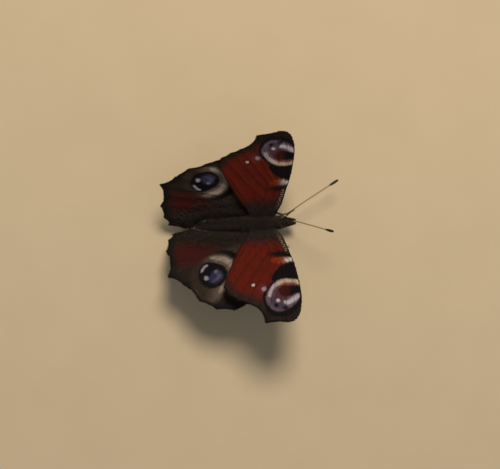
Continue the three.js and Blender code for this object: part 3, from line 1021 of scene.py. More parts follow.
FORE = WingPlan(
    name="forewing",
    costa=[[3.3, -0.8], [5.3, 4.2], [6.3, 8.3], [7.5, 12.9], [8.4, 18.3], [8.75, 22.3], [8.4, 25.4],
    [7.6, 27.4],
           [6.4, 28.4], [4.9, 28.5]],
    margin=[
        [4.9, 28.5], [-0.2, 28.3], [-1.6, 24.9], [-4.2, 23.4], [-6.6, 22.4], [-8.9, 20.9], [-9.9, 18.6],
    ],
    dips=[0.25, 0.35, 0.25, 0.25, 0.25, 0.15],
    inner=[[-9.9, 18.6], [-9.2, 16.4], [-8, 13.1], [-6.7, 9.6], [-5.1, 5.8], [-3.6, 2.8], [-2.4, -0.8]],
    veins={
        "subcosta": [[1.9, -0.6], [4.4, 6], [6.4, 12], [7.9, 17.4]],
        "radius": [[1.2, -0.6], [3.2, 6.2], [4.6, 10.9], [5.9, 15.2], [7.1, 19.6], [7.9, 25.6]],
        "radius1": [[4.3, 9.6], [6.2, 14.6], [8.2, 20.6]],
        "radius4": [[6.9, 19], [6.9, 23.4], [6.3, 27.8]],
        "radius5": [[4.6, 10.9], [4.7, 16], [5, 22], [4.8, 27.9]],
        "media1": [[4.6, 10.9], [3.2, 16], [1.6, 22], [0, 27.8]],
        "media2": [[3.4, 11.5], [1.6, 16], [0, 20.6], [-1.4, 24.4]],
        "cell_end": [[4.6, 10.9], [3.4, 11.5], [1.9, 10.9]],
        "cubitus": [[0.3, -0.6], [0.9, 4.4], [1.9, 10.9], [-0.2, 15.4], [-2.6, 20], [-4, 22.9]],
        "cubitus1": [[1.5, 8.8], [-1.6, 14], [-4.4, 18.6], [-6.3, 21.9]],
        "cubitus2": [[1, 5.4], [-2.4, 10.4], [-6, 16], [-8.6, 20.4]],
        "anal": [[-0.9, -0.6], [-3.4, 4.8], [-6.4, 11.6], [-8.6, 16.6]],
    },
    curl_line=(-0.5, 0.86, 19.0),
    ground="#641904",
    marks=FORE_MARKS,
    hub=(1.0, -6.0),
)

HIND = WingPlan(
    name="hindwing",
    costa=[[0.5, -0.9], [1.4, 3.6], [0.9, 8.6], [-0.9, 13.6], [-3.2, 17.4], [-5.6, 19.5], [-8.3, 20.5]],
    margin=[[-8.3, 20.5], [-12.7, 20.1], [-16.9, 18.5], [-20.5, 14.9], [-24.4, 12.5], [-23.6, 8.5],
    [-24.7, 4.9],
            [-24.1, 0.6], [-22.8, -1.9]],
    dips=[0.2, 0.25, 0.3, 0.5, 0.35, 0.4, 0.35, 0.3],
    inner=[[-22.8, -1.9], [-19.4, -2.5], [-14, -2.7], [-9, -2.6], [-5.6, -2.0], [-3, -1.4], [-1.2, -0.9]],
    veins={
        "subcosta": [[-0.1, -0.3], [-0.8, 7.6], [-4, 15.2], [-8, 20]],
        "radius": [[-0.5, -0.2], [-3.4, 6.2], [-8, 14.4], [-12.4, 19.6]],
        "media1": [[-3.4, 6.2], [-7.2, 9.6], [-12.2, 14.2], [-16.5, 18.1]],
        "media2": [[-5.4, 6.4], [-10.4, 10.4], [-15.4, 12.8], [-20, 14.7]],
        "cell_end": [[-3.4, 6.2], [-5.4, 6.4], [-7.4, 5.2]],
        "media3": [[-0.9, -0.2], [-4.2, 3], [-7.4, 5.2], [-15.4, 9.2], [-23.8, 12.3]],
        "cubitus1": [[-7.4, 5.2], [-15.2, 6.8], [-23.2, 8.5]],
        "cubitus2": [[-5, 3.5], [-13, 3.6], [-24.2, 4.9]],
        "anal": [[-1.4, -0.5], [-8, 0.6], [-16, 0.5], [-23.6, 0.6]],
    },
    curl_line=(-0.73, 0.685, 21.6),
    ground="#2f211a",
    marks=HIND_MARKS,
    hub=(3.0, -3.0),
)

HOLDS = {
    "forewing_left": (FORE, WingHold(1, 1.2, 45.2, 45.2, curl=0.035, eye_shift=(0.65, -0.35))),
    "forewing_right": (FORE, WingHold(-1, 1.2, 57, 24, curl=-0.035)),
    "hindwing_left": (HIND, WingHold(1, 0.0, 45.2, 45.2, twist=4.5, reach=-1.6, tuck=1.5, pinch=1.1)),
    "hindwing_right": (HIND, WingHold(-1, 0.0, 52, 5, forward=0.8, reach=1.5, tuck=0.2, pinch=0.9)),
}


@dataclass(frozen=True)
class WingFinish:
    """Wing membrane under rows of flat scales, which give it a dull, powdery surface in small grains."""

    plan: WingPlan
    under: str = "#120d0b"
    under_line: str = "#2e241c"
    grain: float = 0.17
    grain_long: float = 0.26
    ragged: float = 0.32

    def paint(
        self, tree: bpy.types.NodeTree, below: Socket, mark: Mark, plane: bpy.types.Node, rag: Socket,
    ) -> Socket:
        """Lay one marking over the colours below it.

        Args:
            tree: The material's tree.
            below: The colour so far.
            mark: The marking.
            plane: The node that gives the wing's x and t.
            rag: Noise between -1 and 1 that its edge follows.

        Returns:
            The colour with the marking.
        """
        gap = add_node(tree, "ShaderNodeAttribute", {"attribute_name": mark.attribute()})
        torn = add_node(
            tree,
            "ShaderNodeMath",
            {"operation": "MULTIPLY_ADD"},
            {0: rag, 1: mark.ragged, 2: gap.outputs["Fac"]}
        )
        cover = add_node(
            tree,
            "ShaderNodeMapRange",
            {"interpolation_type": "SMOOTHSTEP"},
            {
                0: torn.outputs[0],
                1: mark.within + mark.soft,
                2: mark.within - mark.soft,
                3: 0.0,
                4: mark.strength,
            },
        )
        colour: Any = linear(mark.colour)
        if mark.fade:
            fade = mark.fade
            along = add_node(
                tree,
                "ShaderNodeVectorMath",
                {"operation": "DOT_PRODUCT"},
                {0: plane.outputs["Vector"], 1: (fade.x, fade.t, 0)}
            )
            share = add_node(
                tree,
                "ShaderNodeMapRange",
                {"interpolation_type": "SMOOTHSTEP"},
                {0: along.outputs["Value"], 1: fade.start, 2: fade.end, 3: 0.0, 4: 1.0},
            )
            both = add_node(
                tree,
                "ShaderNodeMix",
                {"data_type": "RGBA"},
                {0: share.outputs[0], 6: colour, 7: linear(fade.colour)}
            )
            colour = both.outputs[2]
        laid = add_node(
            tree, "ShaderNodeMix", {"data_type": "RGBA"}, {0: cover.outputs[0], 6: below, 7: colour},
        )
        return laid.outputs[2]

    def make(self) -> bpy.types.Material:
        """Make the material."""
        material, tree = new_material(self.plan.name + "_scales")
        plane = add_node(tree, "ShaderNodeAttribute", {"attribute_name": "plane"})
        apart = add_node(tree, "ShaderNodeSeparateXYZ", None, {0: plane.outputs["Vector"]})
        rough = add_node(
            tree,
            "ShaderNodeTexNoise",
            None,
            {"Vector": plane.outputs["Vector"], "Scale": 1 / self.ragged, "Detail": 2.0}
        )
        rag = add_node(
            tree, "ShaderNodeMapRange", None, {0: rough.outputs[0], 1: 0.25, 2: 0.75, 3: -1.0, 4: 1.0}
        ).outputs[0]
        cloud = add_node(
            tree,
            "ShaderNodeTexNoise",
            None,
            {"Vector": plane.outputs["Vector"], "Scale": 0.45, "Detail": 3.0}
        )
        streaks = add_node(
            tree, "ShaderNodeMapping", None, {"Vector": plane.outputs["Vector"], "Scale": (2.6, 0.5, 1.0)}
        )
        streak = add_node(
            tree, "ShaderNodeTexNoise", None, {"Vector": streaks.outputs[0], "Scale": 1.0, "Detail": 2.0}
        )
        tone = add_node(
            tree, "ShaderNodeMapRange", None, {0: cloud.outputs[0], 1: 0.3, 2: 0.7, 3: 0.0, 4: 0.35}
        )
        deeper = add_node(
            tree,
            "ShaderNodeMix",
            {"data_type": "RGBA", "blend_type": "MULTIPLY"},
            {0: tone.outputs[0], 6: linear(self.plan.ground), 7: linear("#a08a80")},
        )
        colour = deeper.outputs[2]
        for mark in self.plan.marks:
            colour = self.paint(tree, colour, mark, plane, rag)
        if self.plan is FORE:
            colour = self.costal_dashes(tree, colour, apart)
        below = self.underside(tree, plane, rag)
        colour = add_node(
            tree, "ShaderNodeMix", {"data_type": "RGBA"}, {0: apart.outputs[2], 6: below, 7: colour}
        ).outputs[2]
        vein = add_node(tree, "ShaderNodeAttribute", {"attribute_name": Axis.VEIN.value})
        on_vein = add_node(
            tree,
            "ShaderNodeMapRange",
            {"interpolation_type": "SMOOTHSTEP"},
            {0: vein.outputs["Fac"], 1: 0.24, 2: 0.02, 3: 0.0, 4: 0.45},
        )
        colour = add_node(
            tree,
            "ShaderNodeMix",
            {"data_type": "RGBA", "blend_type": "MULTIPLY"},
            {0: on_vein.outputs[0], 6: colour, 7: linear("#8f7468")},
        ).outputs[2]
        # Scales are 0.1 mm wide and 0.2 mm long; the grain is drawn wider, or it would not show
        cells = add_node(
            tree,
            "ShaderNodeMapping",
            None,
            {"Vector": plane.outputs["Vector"], "Scale": (1 / self.grain, 1 / self.grain_long, 1.0)},
        )
        scale = add_node(tree, "ShaderNodeTexVoronoi", None, {"Vector": cells.outputs[0], "Scale": 1.0})
        shade = add_node(tree, "ShaderNodeSeparateColor", None, {0: scale.outputs["Color"]})
        mixed = add_node(
            tree, "ShaderNodeMath", {"operation": "ADD"}, {0: shade.outputs[0], 1: streak.outputs[0]}
        )
        value = add_node(
            tree, "ShaderNodeMapRange", None, {0: mixed.outputs[0], 1: 0.2, 2: 1.7, 3: 0.72, 4: 1.28}
        )
        grained = add_node(
            tree, "ShaderNodeHueSaturation", None, {"Value": value.outputs[0], "Color": colour}
        )
        finish_with(
            tree,
            grained.outputs[0],
            scale.outputs["Distance"],
            0.00003,
            {"Roughness": 0.72, "Specular IOR Level": 0.14, "Sheen Weight": 0.02, "Sheen Roughness": 0.45},
        )
        return material

    def costal_dashes(self, tree: bpy.types.NodeTree, below: Socket, apart: bpy.types.Node) -> Socket:
        """Lay the fine pale cross dashes of the forewing's front edge over the colours."""
        wave = add_node(
            tree,
            "ShaderNodeMath",
            {"operation": "SINE"},
            {
                0: add_node(
                    tree, "ShaderNodeMath", {"operation": "MULTIPLY"}, {0: apart.outputs[1], 1: 8.4},
                ).outputs[0],
            },
        )
        bands = add_node(
            tree,
            "ShaderNodeMapRange",
            {"interpolation_type": "SMOOTHSTEP"},
            {0: wave.outputs[0], 1: 0.1, 2: 0.9}
        )
        costa = add_node(tree, "ShaderNodeAttribute", {"attribute_name": Axis.COSTA.value})
        far = add_node(
            tree,
            "ShaderNodeMapRange",
            {"interpolation_type": "SMOOTHSTEP"},
            {0: costa.outputs["Fac"], 1: 1.35, 2: 0.9}
        )
        near = add_node(
            tree,
            "ShaderNodeMapRange",
            {"interpolation_type": "SMOOTHSTEP"},
            {0: costa.outputs["Fac"], 1: 0.2, 2: 0.4}
        )
        basal = add_node(
            tree,
            "ShaderNodeMapRange",
            {"interpolation_type": "SMOOTHSTEP"},
            {0: apart.outputs[1], 1: 9.6, 2: 8.2}
        )
        share = bands.outputs[0]
        for part in (far, near, basal):
            share = add_node(
                tree, "ShaderNodeMath", {"operation": "MULTIPLY"}, {0: share, 1: part.outputs[0]},
            ).outputs[0]
        return add_node(
            tree, "ShaderNodeMix", {"data_type": "RGBA"}, {0: share, 6: below, 7: linear("#8f8268")}
        ).outputs[2]

    def underside(self, tree: bpy.types.NodeTree, plane: bpy.types.Node, rag: Socket) -> Socket:
        """Give the underside's near-black with fine wavy cross lines, paler in the outer part."""
        bent = add_node(
            tree,
            "ShaderNodeTexWave",
            {"bands_direction": "Y"},
            {
                "Vector": plane.outputs["Vector"],
                "Scale": 0.55,
                "Distortion": 7.0,
                "Detail": 3.0,
                "Detail Scale": 1.6,
            },
        )
        lines = add_node(
            tree,
            "ShaderNodeMapRange",
            {"interpolation_type": "SMOOTHSTEP"},
            {0: bent.outputs["Fac"], 1: 0.55, 2: 0.9}
        )
        lined = add_node(
            tree,
            "ShaderNodeMix",
            {"data_type": "RGBA"},
            {0: lines.outputs[0], 6: linear(self.under), 7: linear(self.under_line)},
        )
        band = Mark("under_band", "#332a22", Axis.MARGIN, 5.2, 0.9, 0.9, 0.45)
        edge = Mark("under_edge", "#0c0908", Axis.MARGIN, 2.6, 0.5, 0.7, 0.9)
        return self.paint(tree, self.paint(tree, lined.outputs[2], band, plane, rag), edge, plane, rag)


@dataclass(frozen=True)
class FurFinish:
    """Fine hair, dark at the root and browner at the tip, in faintly different locks."""

    name: str
    root: str
    tip: str
    grey: str
    coat: bool = True
    patch: float = 1.1

    def make(self) -> bpy.types.Material:
        """Make the material."""
        material, tree = new_material(self.name)
        home = add_node(tree, "ShaderNodeAttribute", {"attribute_name": "home"})
        locks = add_node(
            tree,
            "ShaderNodeTexNoise",
            None,
            {"Vector": home.outputs["Vector"], "Scale": 1 / self.patch, "Detail": 4.0}
        )
        share = add_node(
            tree, "ShaderNodeMapRange", None, {0: locks.outputs[0], 1: 0.35, 2: 0.68, 3: 0.0, 4: 0.8},
        )
        tint = add_node(
            tree,
            "ShaderNodeMix",
            {"data_type": "RGBA"},
            {0: share.outputs[0], 6: linear(self.tip), 7: linear(self.grey)}
        )
        ends = add_node(tree, "ShaderNodeAttribute", {"attribute_name": "tip"})
        dark = add_node(
            tree,
            "ShaderNodeMapRange",
            None,
            {0: ends.outputs["Fac"], 1: 0.1, 2: 0.9, 3: 0.15, 4: 1.0 if self.coat else 0.3}
        )
        colour = add_node(
            tree,
            "ShaderNodeMix",
            {"data_type": "RGBA"},
            {0: dark.outputs[0], 6: linear(self.root), 7: tint.outputs[2]}
        )
        fine = add_node(
            tree,
            "ShaderNodeTexNoise",
            None,
            {"Vector": home.outputs["Vector"], "Scale": 9.0, "Detail": 2.0}
        )
        finish_with(
            tree,
            colour.outputs[2],
            None if self.coat else fine.outputs[0],
            0.00006,
            {"Roughness": 0.55, "Specular IOR Level": 0.3, "Sheen Weight": 0.1, "Sheen Roughness": 0.4},
        )
        return material


@dataclass(frozen=True)
class EyeFinish:
    """Compound eye: hard clear cuticle over dark pigment, whose small facets break up its gloss."""

    dark: str = "#0d0706"
    warm: str = "#2b1610"
    facet: float = 0.09

    def make(self) -> bpy.types.Material:
        """Make the material."""
        material, tree = new_material("compound_eye")
        home = add_node(tree, "ShaderNodeAttribute", {"attribute_name": "home"})
        # Real facets are 0.025 mm wide; they are drawn at 0.09 mm so that they show
        facets = add_node(
            tree,
            "ShaderNodeTexVoronoi",
            {"feature": "F1"},
            {"Vector": home.outputs["Vector"], "Scale": 1 / self.facet, "Randomness": 0.35},
        )
        cloud = add_node(tree, "ShaderNodeTexNoise", None, {"Vector": home.outputs["Vector"], "Scale": 1.6})
        colour = add_node(
            tree,
            "ShaderNodeMix",
            {"data_type": "RGBA"},
            {0: cloud.outputs[0], 6: linear(self.dark), 7: linear(self.warm)},
        )
        finish_with(
            tree,
            colour.outputs[2],
            facets.outputs["Distance"],
            0.00002,
            {"Roughness": 0.34, "Coat Weight": 0.2, "Coat Roughness": 0.2},
        )
        return material


@dataclass(frozen=True)
class HornFinish:
    """Bare cuticle: hard, smooth and brown, ringed where its segments meet."""

    name: str
    dark: str
    pale: str
    end: str
    ring: float
    end_from: float = 2.0
    end_to: float = 3.0
    roughness: float = 0.4
    start: float = -2.0

    def make(self) -> bpy.types.Material:
        """Make the material."""
        material, tree = new_material(self.name)
        along = add_node(tree, "ShaderNodeAttribute", {"attribute_name": "along"})
        share = add_node(tree, "ShaderNodeAttribute", {"attribute_name": "share"})
        turns = add_node(
            tree,
            "ShaderNodeMath",
            {"operation": "MULTIPLY"},
            {0: along.outputs["Fac"], 1: 2 * math.pi / self.ring}
        )
        wave = add_node(tree, "ShaderNodeMath", {"operation": "SINE"}, {0: turns.outputs[0]})
        rings = add_node(
            tree,
            "ShaderNodeMapRange",
            {"interpolation_type": "SMOOTHSTEP"},
            {0: wave.outputs[0], 1: -0.1, 2: 0.8}
        )
        ringed = add_node(
            tree,
            "ShaderNodeMix",
            {"data_type": "RGBA"},
            {0: rings.outputs[0], 6: linear(self.pale), 7: linear(self.dark)}
        )
        ending = add_node(
            tree,
            "ShaderNodeMapRange",
            {"interpolation_type": "SMOOTHSTEP"},
            {0: share.outputs["Fac"], 1: self.end_from, 2: self.end_to},
        )
        colour = add_node(
            tree,
            "ShaderNodeMix",
            {"data_type": "RGBA"},
            {0: ending.outputs[0], 6: ringed.outputs[2], 7: linear(self.end)}
        )
        starting = add_node(
            tree,
            "ShaderNodeMapRange",
            {"interpolation_type": "SMOOTHSTEP"},
            {0: share.outputs["Fac"], 1: self.start + 0.1, 2: self.start},
        )
        colour = add_node(
            tree,
            "ShaderNodeMix",
            {"data_type": "RGBA"},
            {0: starting.outputs[0], 6: colour.outputs[2], 7: linear(self.end)}
        )
        home = add_node(tree, "ShaderNodeAttribute", {"attribute_name": "home"})
        fine = add_node(tree, "ShaderNodeTexNoise", None, {"Vector": home.outputs["Vector"], "Scale": 14.0})
        tinted = add_node(
            tree,
            "ShaderNodeMix",
            {"data_type": "RGBA", "blend_type": "MULTIPLY"},
            {0: fine.outputs[0], 6: colour.outputs[2], 7: linear("#b7a598")},
        )
        finish_with(
            tree,
            tinted.outputs[2],
            fine.outputs[0],
            0.00001,
            {"Roughness": self.roughness, "Specular IOR Level": 0.4},
        )
        return material


@dataclass
class Wing:
    """One wing: the membrane with its veins, its scales, its fringe and the hair at its base."""

    name: str
    plan: WingPlan
    hold: WingHold
    step: float = 0.34
    half: float = 0.05
    ridge: float = 0.1
    fold_y: float = 2.0
    fold_z: float = 3.4
    fold_start: float = -3.0
    fold_length: float = 2.0
    span: float = 28.0
    line_step: float = 0.3
    vein_step: float = 0.4
    vein_rows: tuple[float, ...] = (0.0, 0.12, -0.12, 0.27, -0.27)
    scale_row: float = 0.31
    scale_apart: float = 0.25
    scale_length: float = 0.4
    scale_lift: float = 9.0

    def rise(self, x: Array, t: Array) -> Array:
        """Give the wing's slope above level, in radians, at x and t."""
        slope = self.hold.root + (self.hold.tip - self.hold.root) * np.clip(t / self.span, 0, 1.1)
        slope = np.radians(slope + self.hold.twist * smooth(-x, 8, 15))
        return slope + (math.pi / 2 - slope) * np.exp(-(t - self.fold_start) / self.fold_length)

    def place(self, x: Array, t: Array) -> Array:
        """Carry points of the plane to their places in space."""
        hold = self.hold
        line = self.plan.curl_line
        beyond = np.maximum(0, x * line[0] + t * line[1] - line[2])
        x = x + hold.forward
        t = t + hold.reach * smooth(t, 16, 21)
        steps = 72
        share = (np.arange(steps) + 0.5) / steps
        walk = self.fold_start + (t - self.fold_start)[:, None] * share
        slopes = self.rise(x[:, None], walk)
        length = (t - self.fold_start) / steps
        y = self.fold_y + np.cos(slopes).sum(1) * length
        z = self.fold_z + np.sin(slopes).sum(1) * length
        out = hold.above + hold.curl * beyond**2
        tuck = hold.tuck * smooth(-x, 14.5, 19.5)
        pinch = hold.pinch * np.exp(-(((x + 17.6) / 2.8) ** 2))
        slope = self.rise(x, t)
        y = y - np.sin(slope) * out - (tuck + pinch) * np.exp(-np.maximum(0, t - self.fold_start) / 5)
        return np.stack([x, hold.side * y, z + np.cos(slope) * out], axis=1)

    def surface(self, flat: Array) -> tuple[Array, Array, Array, Array]:
        """Give places, facing, and the forward and outward ways at points of the plane."""
        small = 0.02
        middle = self.place(flat[:, 0], flat[:, 1])
        forward = unit(self.place(flat[:, 0] + small, flat[:, 1]) - middle)
        outward = unit(self.place(flat[:, 0], flat[:, 1] + small) - middle)
        return middle, unit(np.cross(forward, outward)) * self.hold.side, forward, outward

    def measures(self, flat: Array) -> dict[str, Array]:
        """Measure points of the plane against the wing's lines and markings."""
        front, outer, inner = self.plan.edges(self.line_step)
        veins = [smooth_line(path, self.line_step) for path in self.plan.veins.values()]
        found = {
            Axis.VEIN.value: distance_to_lines(flat, veins),
            Axis.MARGIN.value: distance_to_lines(flat, [outer]),
            Axis.COSTA.value: distance_to_lines(flat, [front]),
            Axis.INNER.value: distance_to_lines(flat, [inner]),
        }
        for mark in self.plan.marks:
            if not isinstance(mark.where, Axis):
                outline = smooth_line(mark.where, 0.25, closed=True)
                # Only the markings of the front half, the eye's, sit differently from wing to wing
                if outline[:, 0].mean() > 2.0:
                    outline = outline + self.hold.eye_shift
                found[mark.attribute()] = distance_outside(flat, outline)
        return found

    def relief(self, found: dict[str, Array]) -> tuple[Array, Array]:
        """Give how far the sheet sags between its veins, and its half thickness."""
        edge = np.minimum(np.minimum(found["margin"], found["costa"]), found["inner"])
        sag = -0.11 * smooth(found["vein"], 0.15, 1.5) * smooth(edge, 0.0, 1.2)
        costa = 0.1 * np.exp(-((found["costa"] / 0.3) ** 2)) if self.plan is FORE else 0.0
        strength = 0.4 + 0.6 * smooth(found["margin"], 0.0, 6.0)
        vein = self.ridge * np.exp(-((found["vein"] / 0.14) ** 2)) * strength
        return sag, self.half + vein + costa

    def flat_points(self) -> tuple[Array, int]:
        """Choose the points of the plane that the sheet is made of, the outline first.

        Returns:
            The points and how many of them are the outline.
        """
        outline = self.plan.outline(self.line_step)
        lines = [smooth_line(path, self.vein_step) for path in self.plan.veins.values()]
        veins = []
        for line in lines:
            ahead = unit(np.gradient(line, axis=0))
            across = np.stack([-ahead[:, 1], ahead[:, 0]], axis=1)
            veins += [line + across * off for off in self.vein_rows]
        low, high = outline.min(0), outline.max(0)
        row = self.step * math.sin(math.pi / 3)
        ts = np.arange(low[1], high[1], row)
        grid = [
            [x + (j % 2) * self.step / 2, t] for j,
            t in enumerate(ts) for x in np.arange(low[0], high[0], self.step)
        ]
        cells = np.array(grid)
        cells = cells[distance_to_lines(cells, lines) > 0.4]
        inside = np.concatenate([*veins, cells])
        inside = inside[distance_outside(inside, outline) < -0.14]
        tree = kdtree.KDTree(len(inside))
        for i, (x, t) in enumerate(inside):
            tree.insert((x, t, 0), i)
        tree.balance()
        kept = np.ones(len(inside), bool)
        for i, (x, t) in enumerate(inside):
            if kept[i]:
                for _, j, _ in tree.find_range((x, t, 0), 0.1):
                    if j > i:
                        kept[j] = False
        return np.concatenate([outline, inside[kept]]), len(outline)

    def membrane(self) -> Shell:
        """Make the closed sheet, thin, with its veins raised on both faces."""
        flat, around = self.flat_points()
        ring = [(i, (i + 1) % around) for i in range(around)]
        found = geometry.delaunay_2d_cdt([Vector(p) for p in flat], ring, [], 1, 1e-5)
        flat = np.array([tuple(v) for v in found[0]])
        count = len(flat)
        upper, edges = [], {}
        for a, b, c in found[2]:
            turn = np.cross(flat[b] - flat[a], flat[c] - flat[a])
            if abs(float(turn)) < 1e-7:
                continue
            face = (a, b, c) if turn > 0 else (a, c, b)
            upper.append(face)
            edges.update({pair: True for pair in zip(face, face[1:] + face[:1])})
        rim = [pair for pair in edges if (pair[1], pair[0]) not in edges]
        places, facing, _, _ = self.surface(flat)
        measures = self.measures(flat)
        sag, half = self.relief(measures)
        points = np.concatenate(
            [places + facing * (sag + half)[:, None], places + facing * (sag - half)[:, None]],
        )
        faces = [*upper, *((a + count, c + count, b + count) for a, b, c in upper)]
        faces += [(q, p, p + count, q + count) for p, q in rim]
        corner_points = [i for face in faces for i in face]
        rim_from = sum(len(face) for face in faces) - 4 * len(rim)
        if self.hold.side < 0:
            faces = [face[::-1] for face in faces]
            corner_points = [i for face in faces for i in face]
        numbers = np.array(corner_points)
        numbers[rim_from:] %= count
        corners = self.unwrap(flat[numbers % count], numbers >= count)
        values = {name: np.tile(value, 2) for name, value in measures.items()}
        top = np.repeat([1.0, 0.0], count)
        values["plane"] = np.column_stack([np.tile(flat, (2, 1)), top])
        return Shell(points, faces, corners, values)

    def unwrap(self, flat: Array, below: Array) -> Array:
        """Place points of the two faces side by side on one unwrap."""
        u = (flat[:, 0] + 26) / 37
        v = (flat[:, 1] + 4) / 34
        return np.stack([u, (v + below) * 0.5], axis=1)

    def roots_on(self, flat: Array, top: bool) -> tuple[Roots, Array, Array]:
        """Set roots on one face of the wing, and give its forward and outward ways there."""
        places, facing, forward, outward = self.surface(flat)
        measures = self.measures(flat)
        sag, half = self.relief(measures)
        way = 1.0 if top else -1.0
        points = places + facing * (sag + way * (half - 0.02))[:, None]
        values = dict(measures)
        values["plane"] = np.column_stack([flat, np.full(len(flat), float(top))])
        values["home"] = points.copy()
        unwrap = self.unwrap(flat, np.full(len(flat), not top))
        return Roots(points, facing * way, unwrap, values), forward, outward

    def scale_roots(self, seed: int) -> Roots:
        """Set the roots of the flat scales in rows round the wing's base, on both faces.

        Real scales are 0.2 mm long. These are twice that, or there would be too many to build.
        """
        draw = np.random.default_rng(seed)
        hub = np.array(self.plan.hub)
        outline = self.plan.outline(self.line_step)
        rows = []
        for k, radius in enumerate(np.arange(3.0, 38.0, self.scale_row)):
            angles = np.arange(
                0, math.pi * 1.25, self.scale_apart / radius,
            ) + (k % 2) * self.scale_apart / 2 / radius
            rows.append(hub + radius * np.stack([np.cos(angles), np.sin(angles)], axis=1))
        flat = np.concatenate(rows)
        flat = flat[distance_outside(flat, outline) < -0.04]
        flat = flat + draw.normal(0, 0.025, flat.shape)
        groups = []
        for top in (True, False):
            roots, forward, outward = self.roots_on(flat, top)
            away = unit(flat - hub)
            way = forward * away[:, :1] + outward * away[:, 1:]
            groups.append(roots.comb(way, self.scale_lift, self.scale_length))
        return Roots.together(groups)

    def fringe_roots(self, seed: int) -> Roots:
        """Set the roots of the fringe along the outer and inner edges."""
        draw = np.random.default_rng(seed)
        groups = []
        _, outer, inner = self.plan.edges(self.line_step)
        for edge, length, back in (
            (outer, 0.55, 0.0), (inner, *((0.5, 0.3) if self.plan is FORE else (1.7, 0.8))),
        ):
            line = smooth_line(edge, 0.045)
            ahead = unit(np.gradient(line, axis=0))
            away = np.stack([ahead[:, 1], -ahead[:, 0]], axis=1)
            away *= np.where(
                distance_outside(line + away * 0.3, self.plan.outline(self.line_step)) < 0, -1, 1,
            )[:, None]
            roots, forward, outward = self.roots_on(line - away * 0.05, True)
            way = forward * (away[:, :1] - back) + outward * away[:, 1:]
            lengths = length * draw.uniform(0.6, 1.0, len(line))
            groups.append(roots.comb(way, draw.normal(0, 8, len(line)), lengths))
        return Roots.together(groups)

    def hair_roots(self, seed: int, count: int) -> Roots:
        """Set the roots of the long soft hair near the body, on the upper face and thinly below."""
        draw = np.random.default_rng(seed)
        outline = self.plan.outline(self.line_step)
        fore = self.plan is FORE
        low, high = (np.array([-6.0, -0.6]), np.array([4.4, 7.0])) if fore else (
            np.array([-22.0, -2.4]), np.array([1.0, 9.0]),
        )
        flat = draw.uniform(low, high, (count * 9, 2))
        flat = flat[distance_outside(flat, outline) < -0.2]
        near = np.exp(
            -np.maximum(0, flat[:, 1]) / (2.2 if fore else 2.6),
        ) * smooth(flat[:, 0], -23.5, -13.0 if not fore else -12.0)
        flat = flat[draw.random(len(flat)) < near][:count]
        groups = []
        for top, part in ((True, flat), (False, flat[::3])):
            roots, forward, outward = self.roots_on(part, top)
            back = -0.35 - 0.75 * smooth(-part[:, 0], 0.0, 8.0)
            way = forward * back[:, None] + outward
            length = 0.9 + 1.5 * np.exp(-np.maximum(0, part[:, 1]) / 4) * (0.7 if fore else 1.0)
            lift = draw.uniform(8, 26, len(part)) + 34 * np.exp(-np.maximum(0, part[:, 1] + 2.2) / 1.6)
            groups.append(roots.comb(way, lift, length))
        return Roots.together(groups)

    def build(
        self, tree: CoatTree, scales: bpy.types.Material, hair: bpy.types.Material, seed: int,
    ) -> None:
        """Make the wing's pieces and fix them.

        Args:
            tree: Grows the coats.
            scales: Finish of the membrane and the scales.
            hair: Finish of the hair at the base.
            seed: Fixes this wing's draws.
        """
        ride(self.membrane().piece(self.name, scales), "wing", self.name)
        flat = Tuft(TuftKind.SCALE)
        ride(
            tree.grow(self.name + "_scales", self.scale_roots(seed), flat, scales, 0.95, 0.15, 0.07, seed),
            "wing",
        )
        cilia = Tuft(TuftKind.DOWN, hairs=2, radius=0.045, spread=0.06, lean=0.12)
        ride(
            tree.grow(
                self.name + "_fringe", self.fringe_roots(seed + 1), cilia, scales, 1.0, 0.3, 0.12, seed,
            ),
            "wing",
        )
        long_hair = Tuft(TuftKind.HAIR, hairs=4, radius=0.013, spread=0.06, lean=0.12)
        roots = self.hair_roots(seed + 2, 900 if self.plan is FORE else 1600)
        ride(tree.grow(self.name + "_hair", roots, long_hair, hair, 1.0, 0.4, 0.16, seed), "fur")


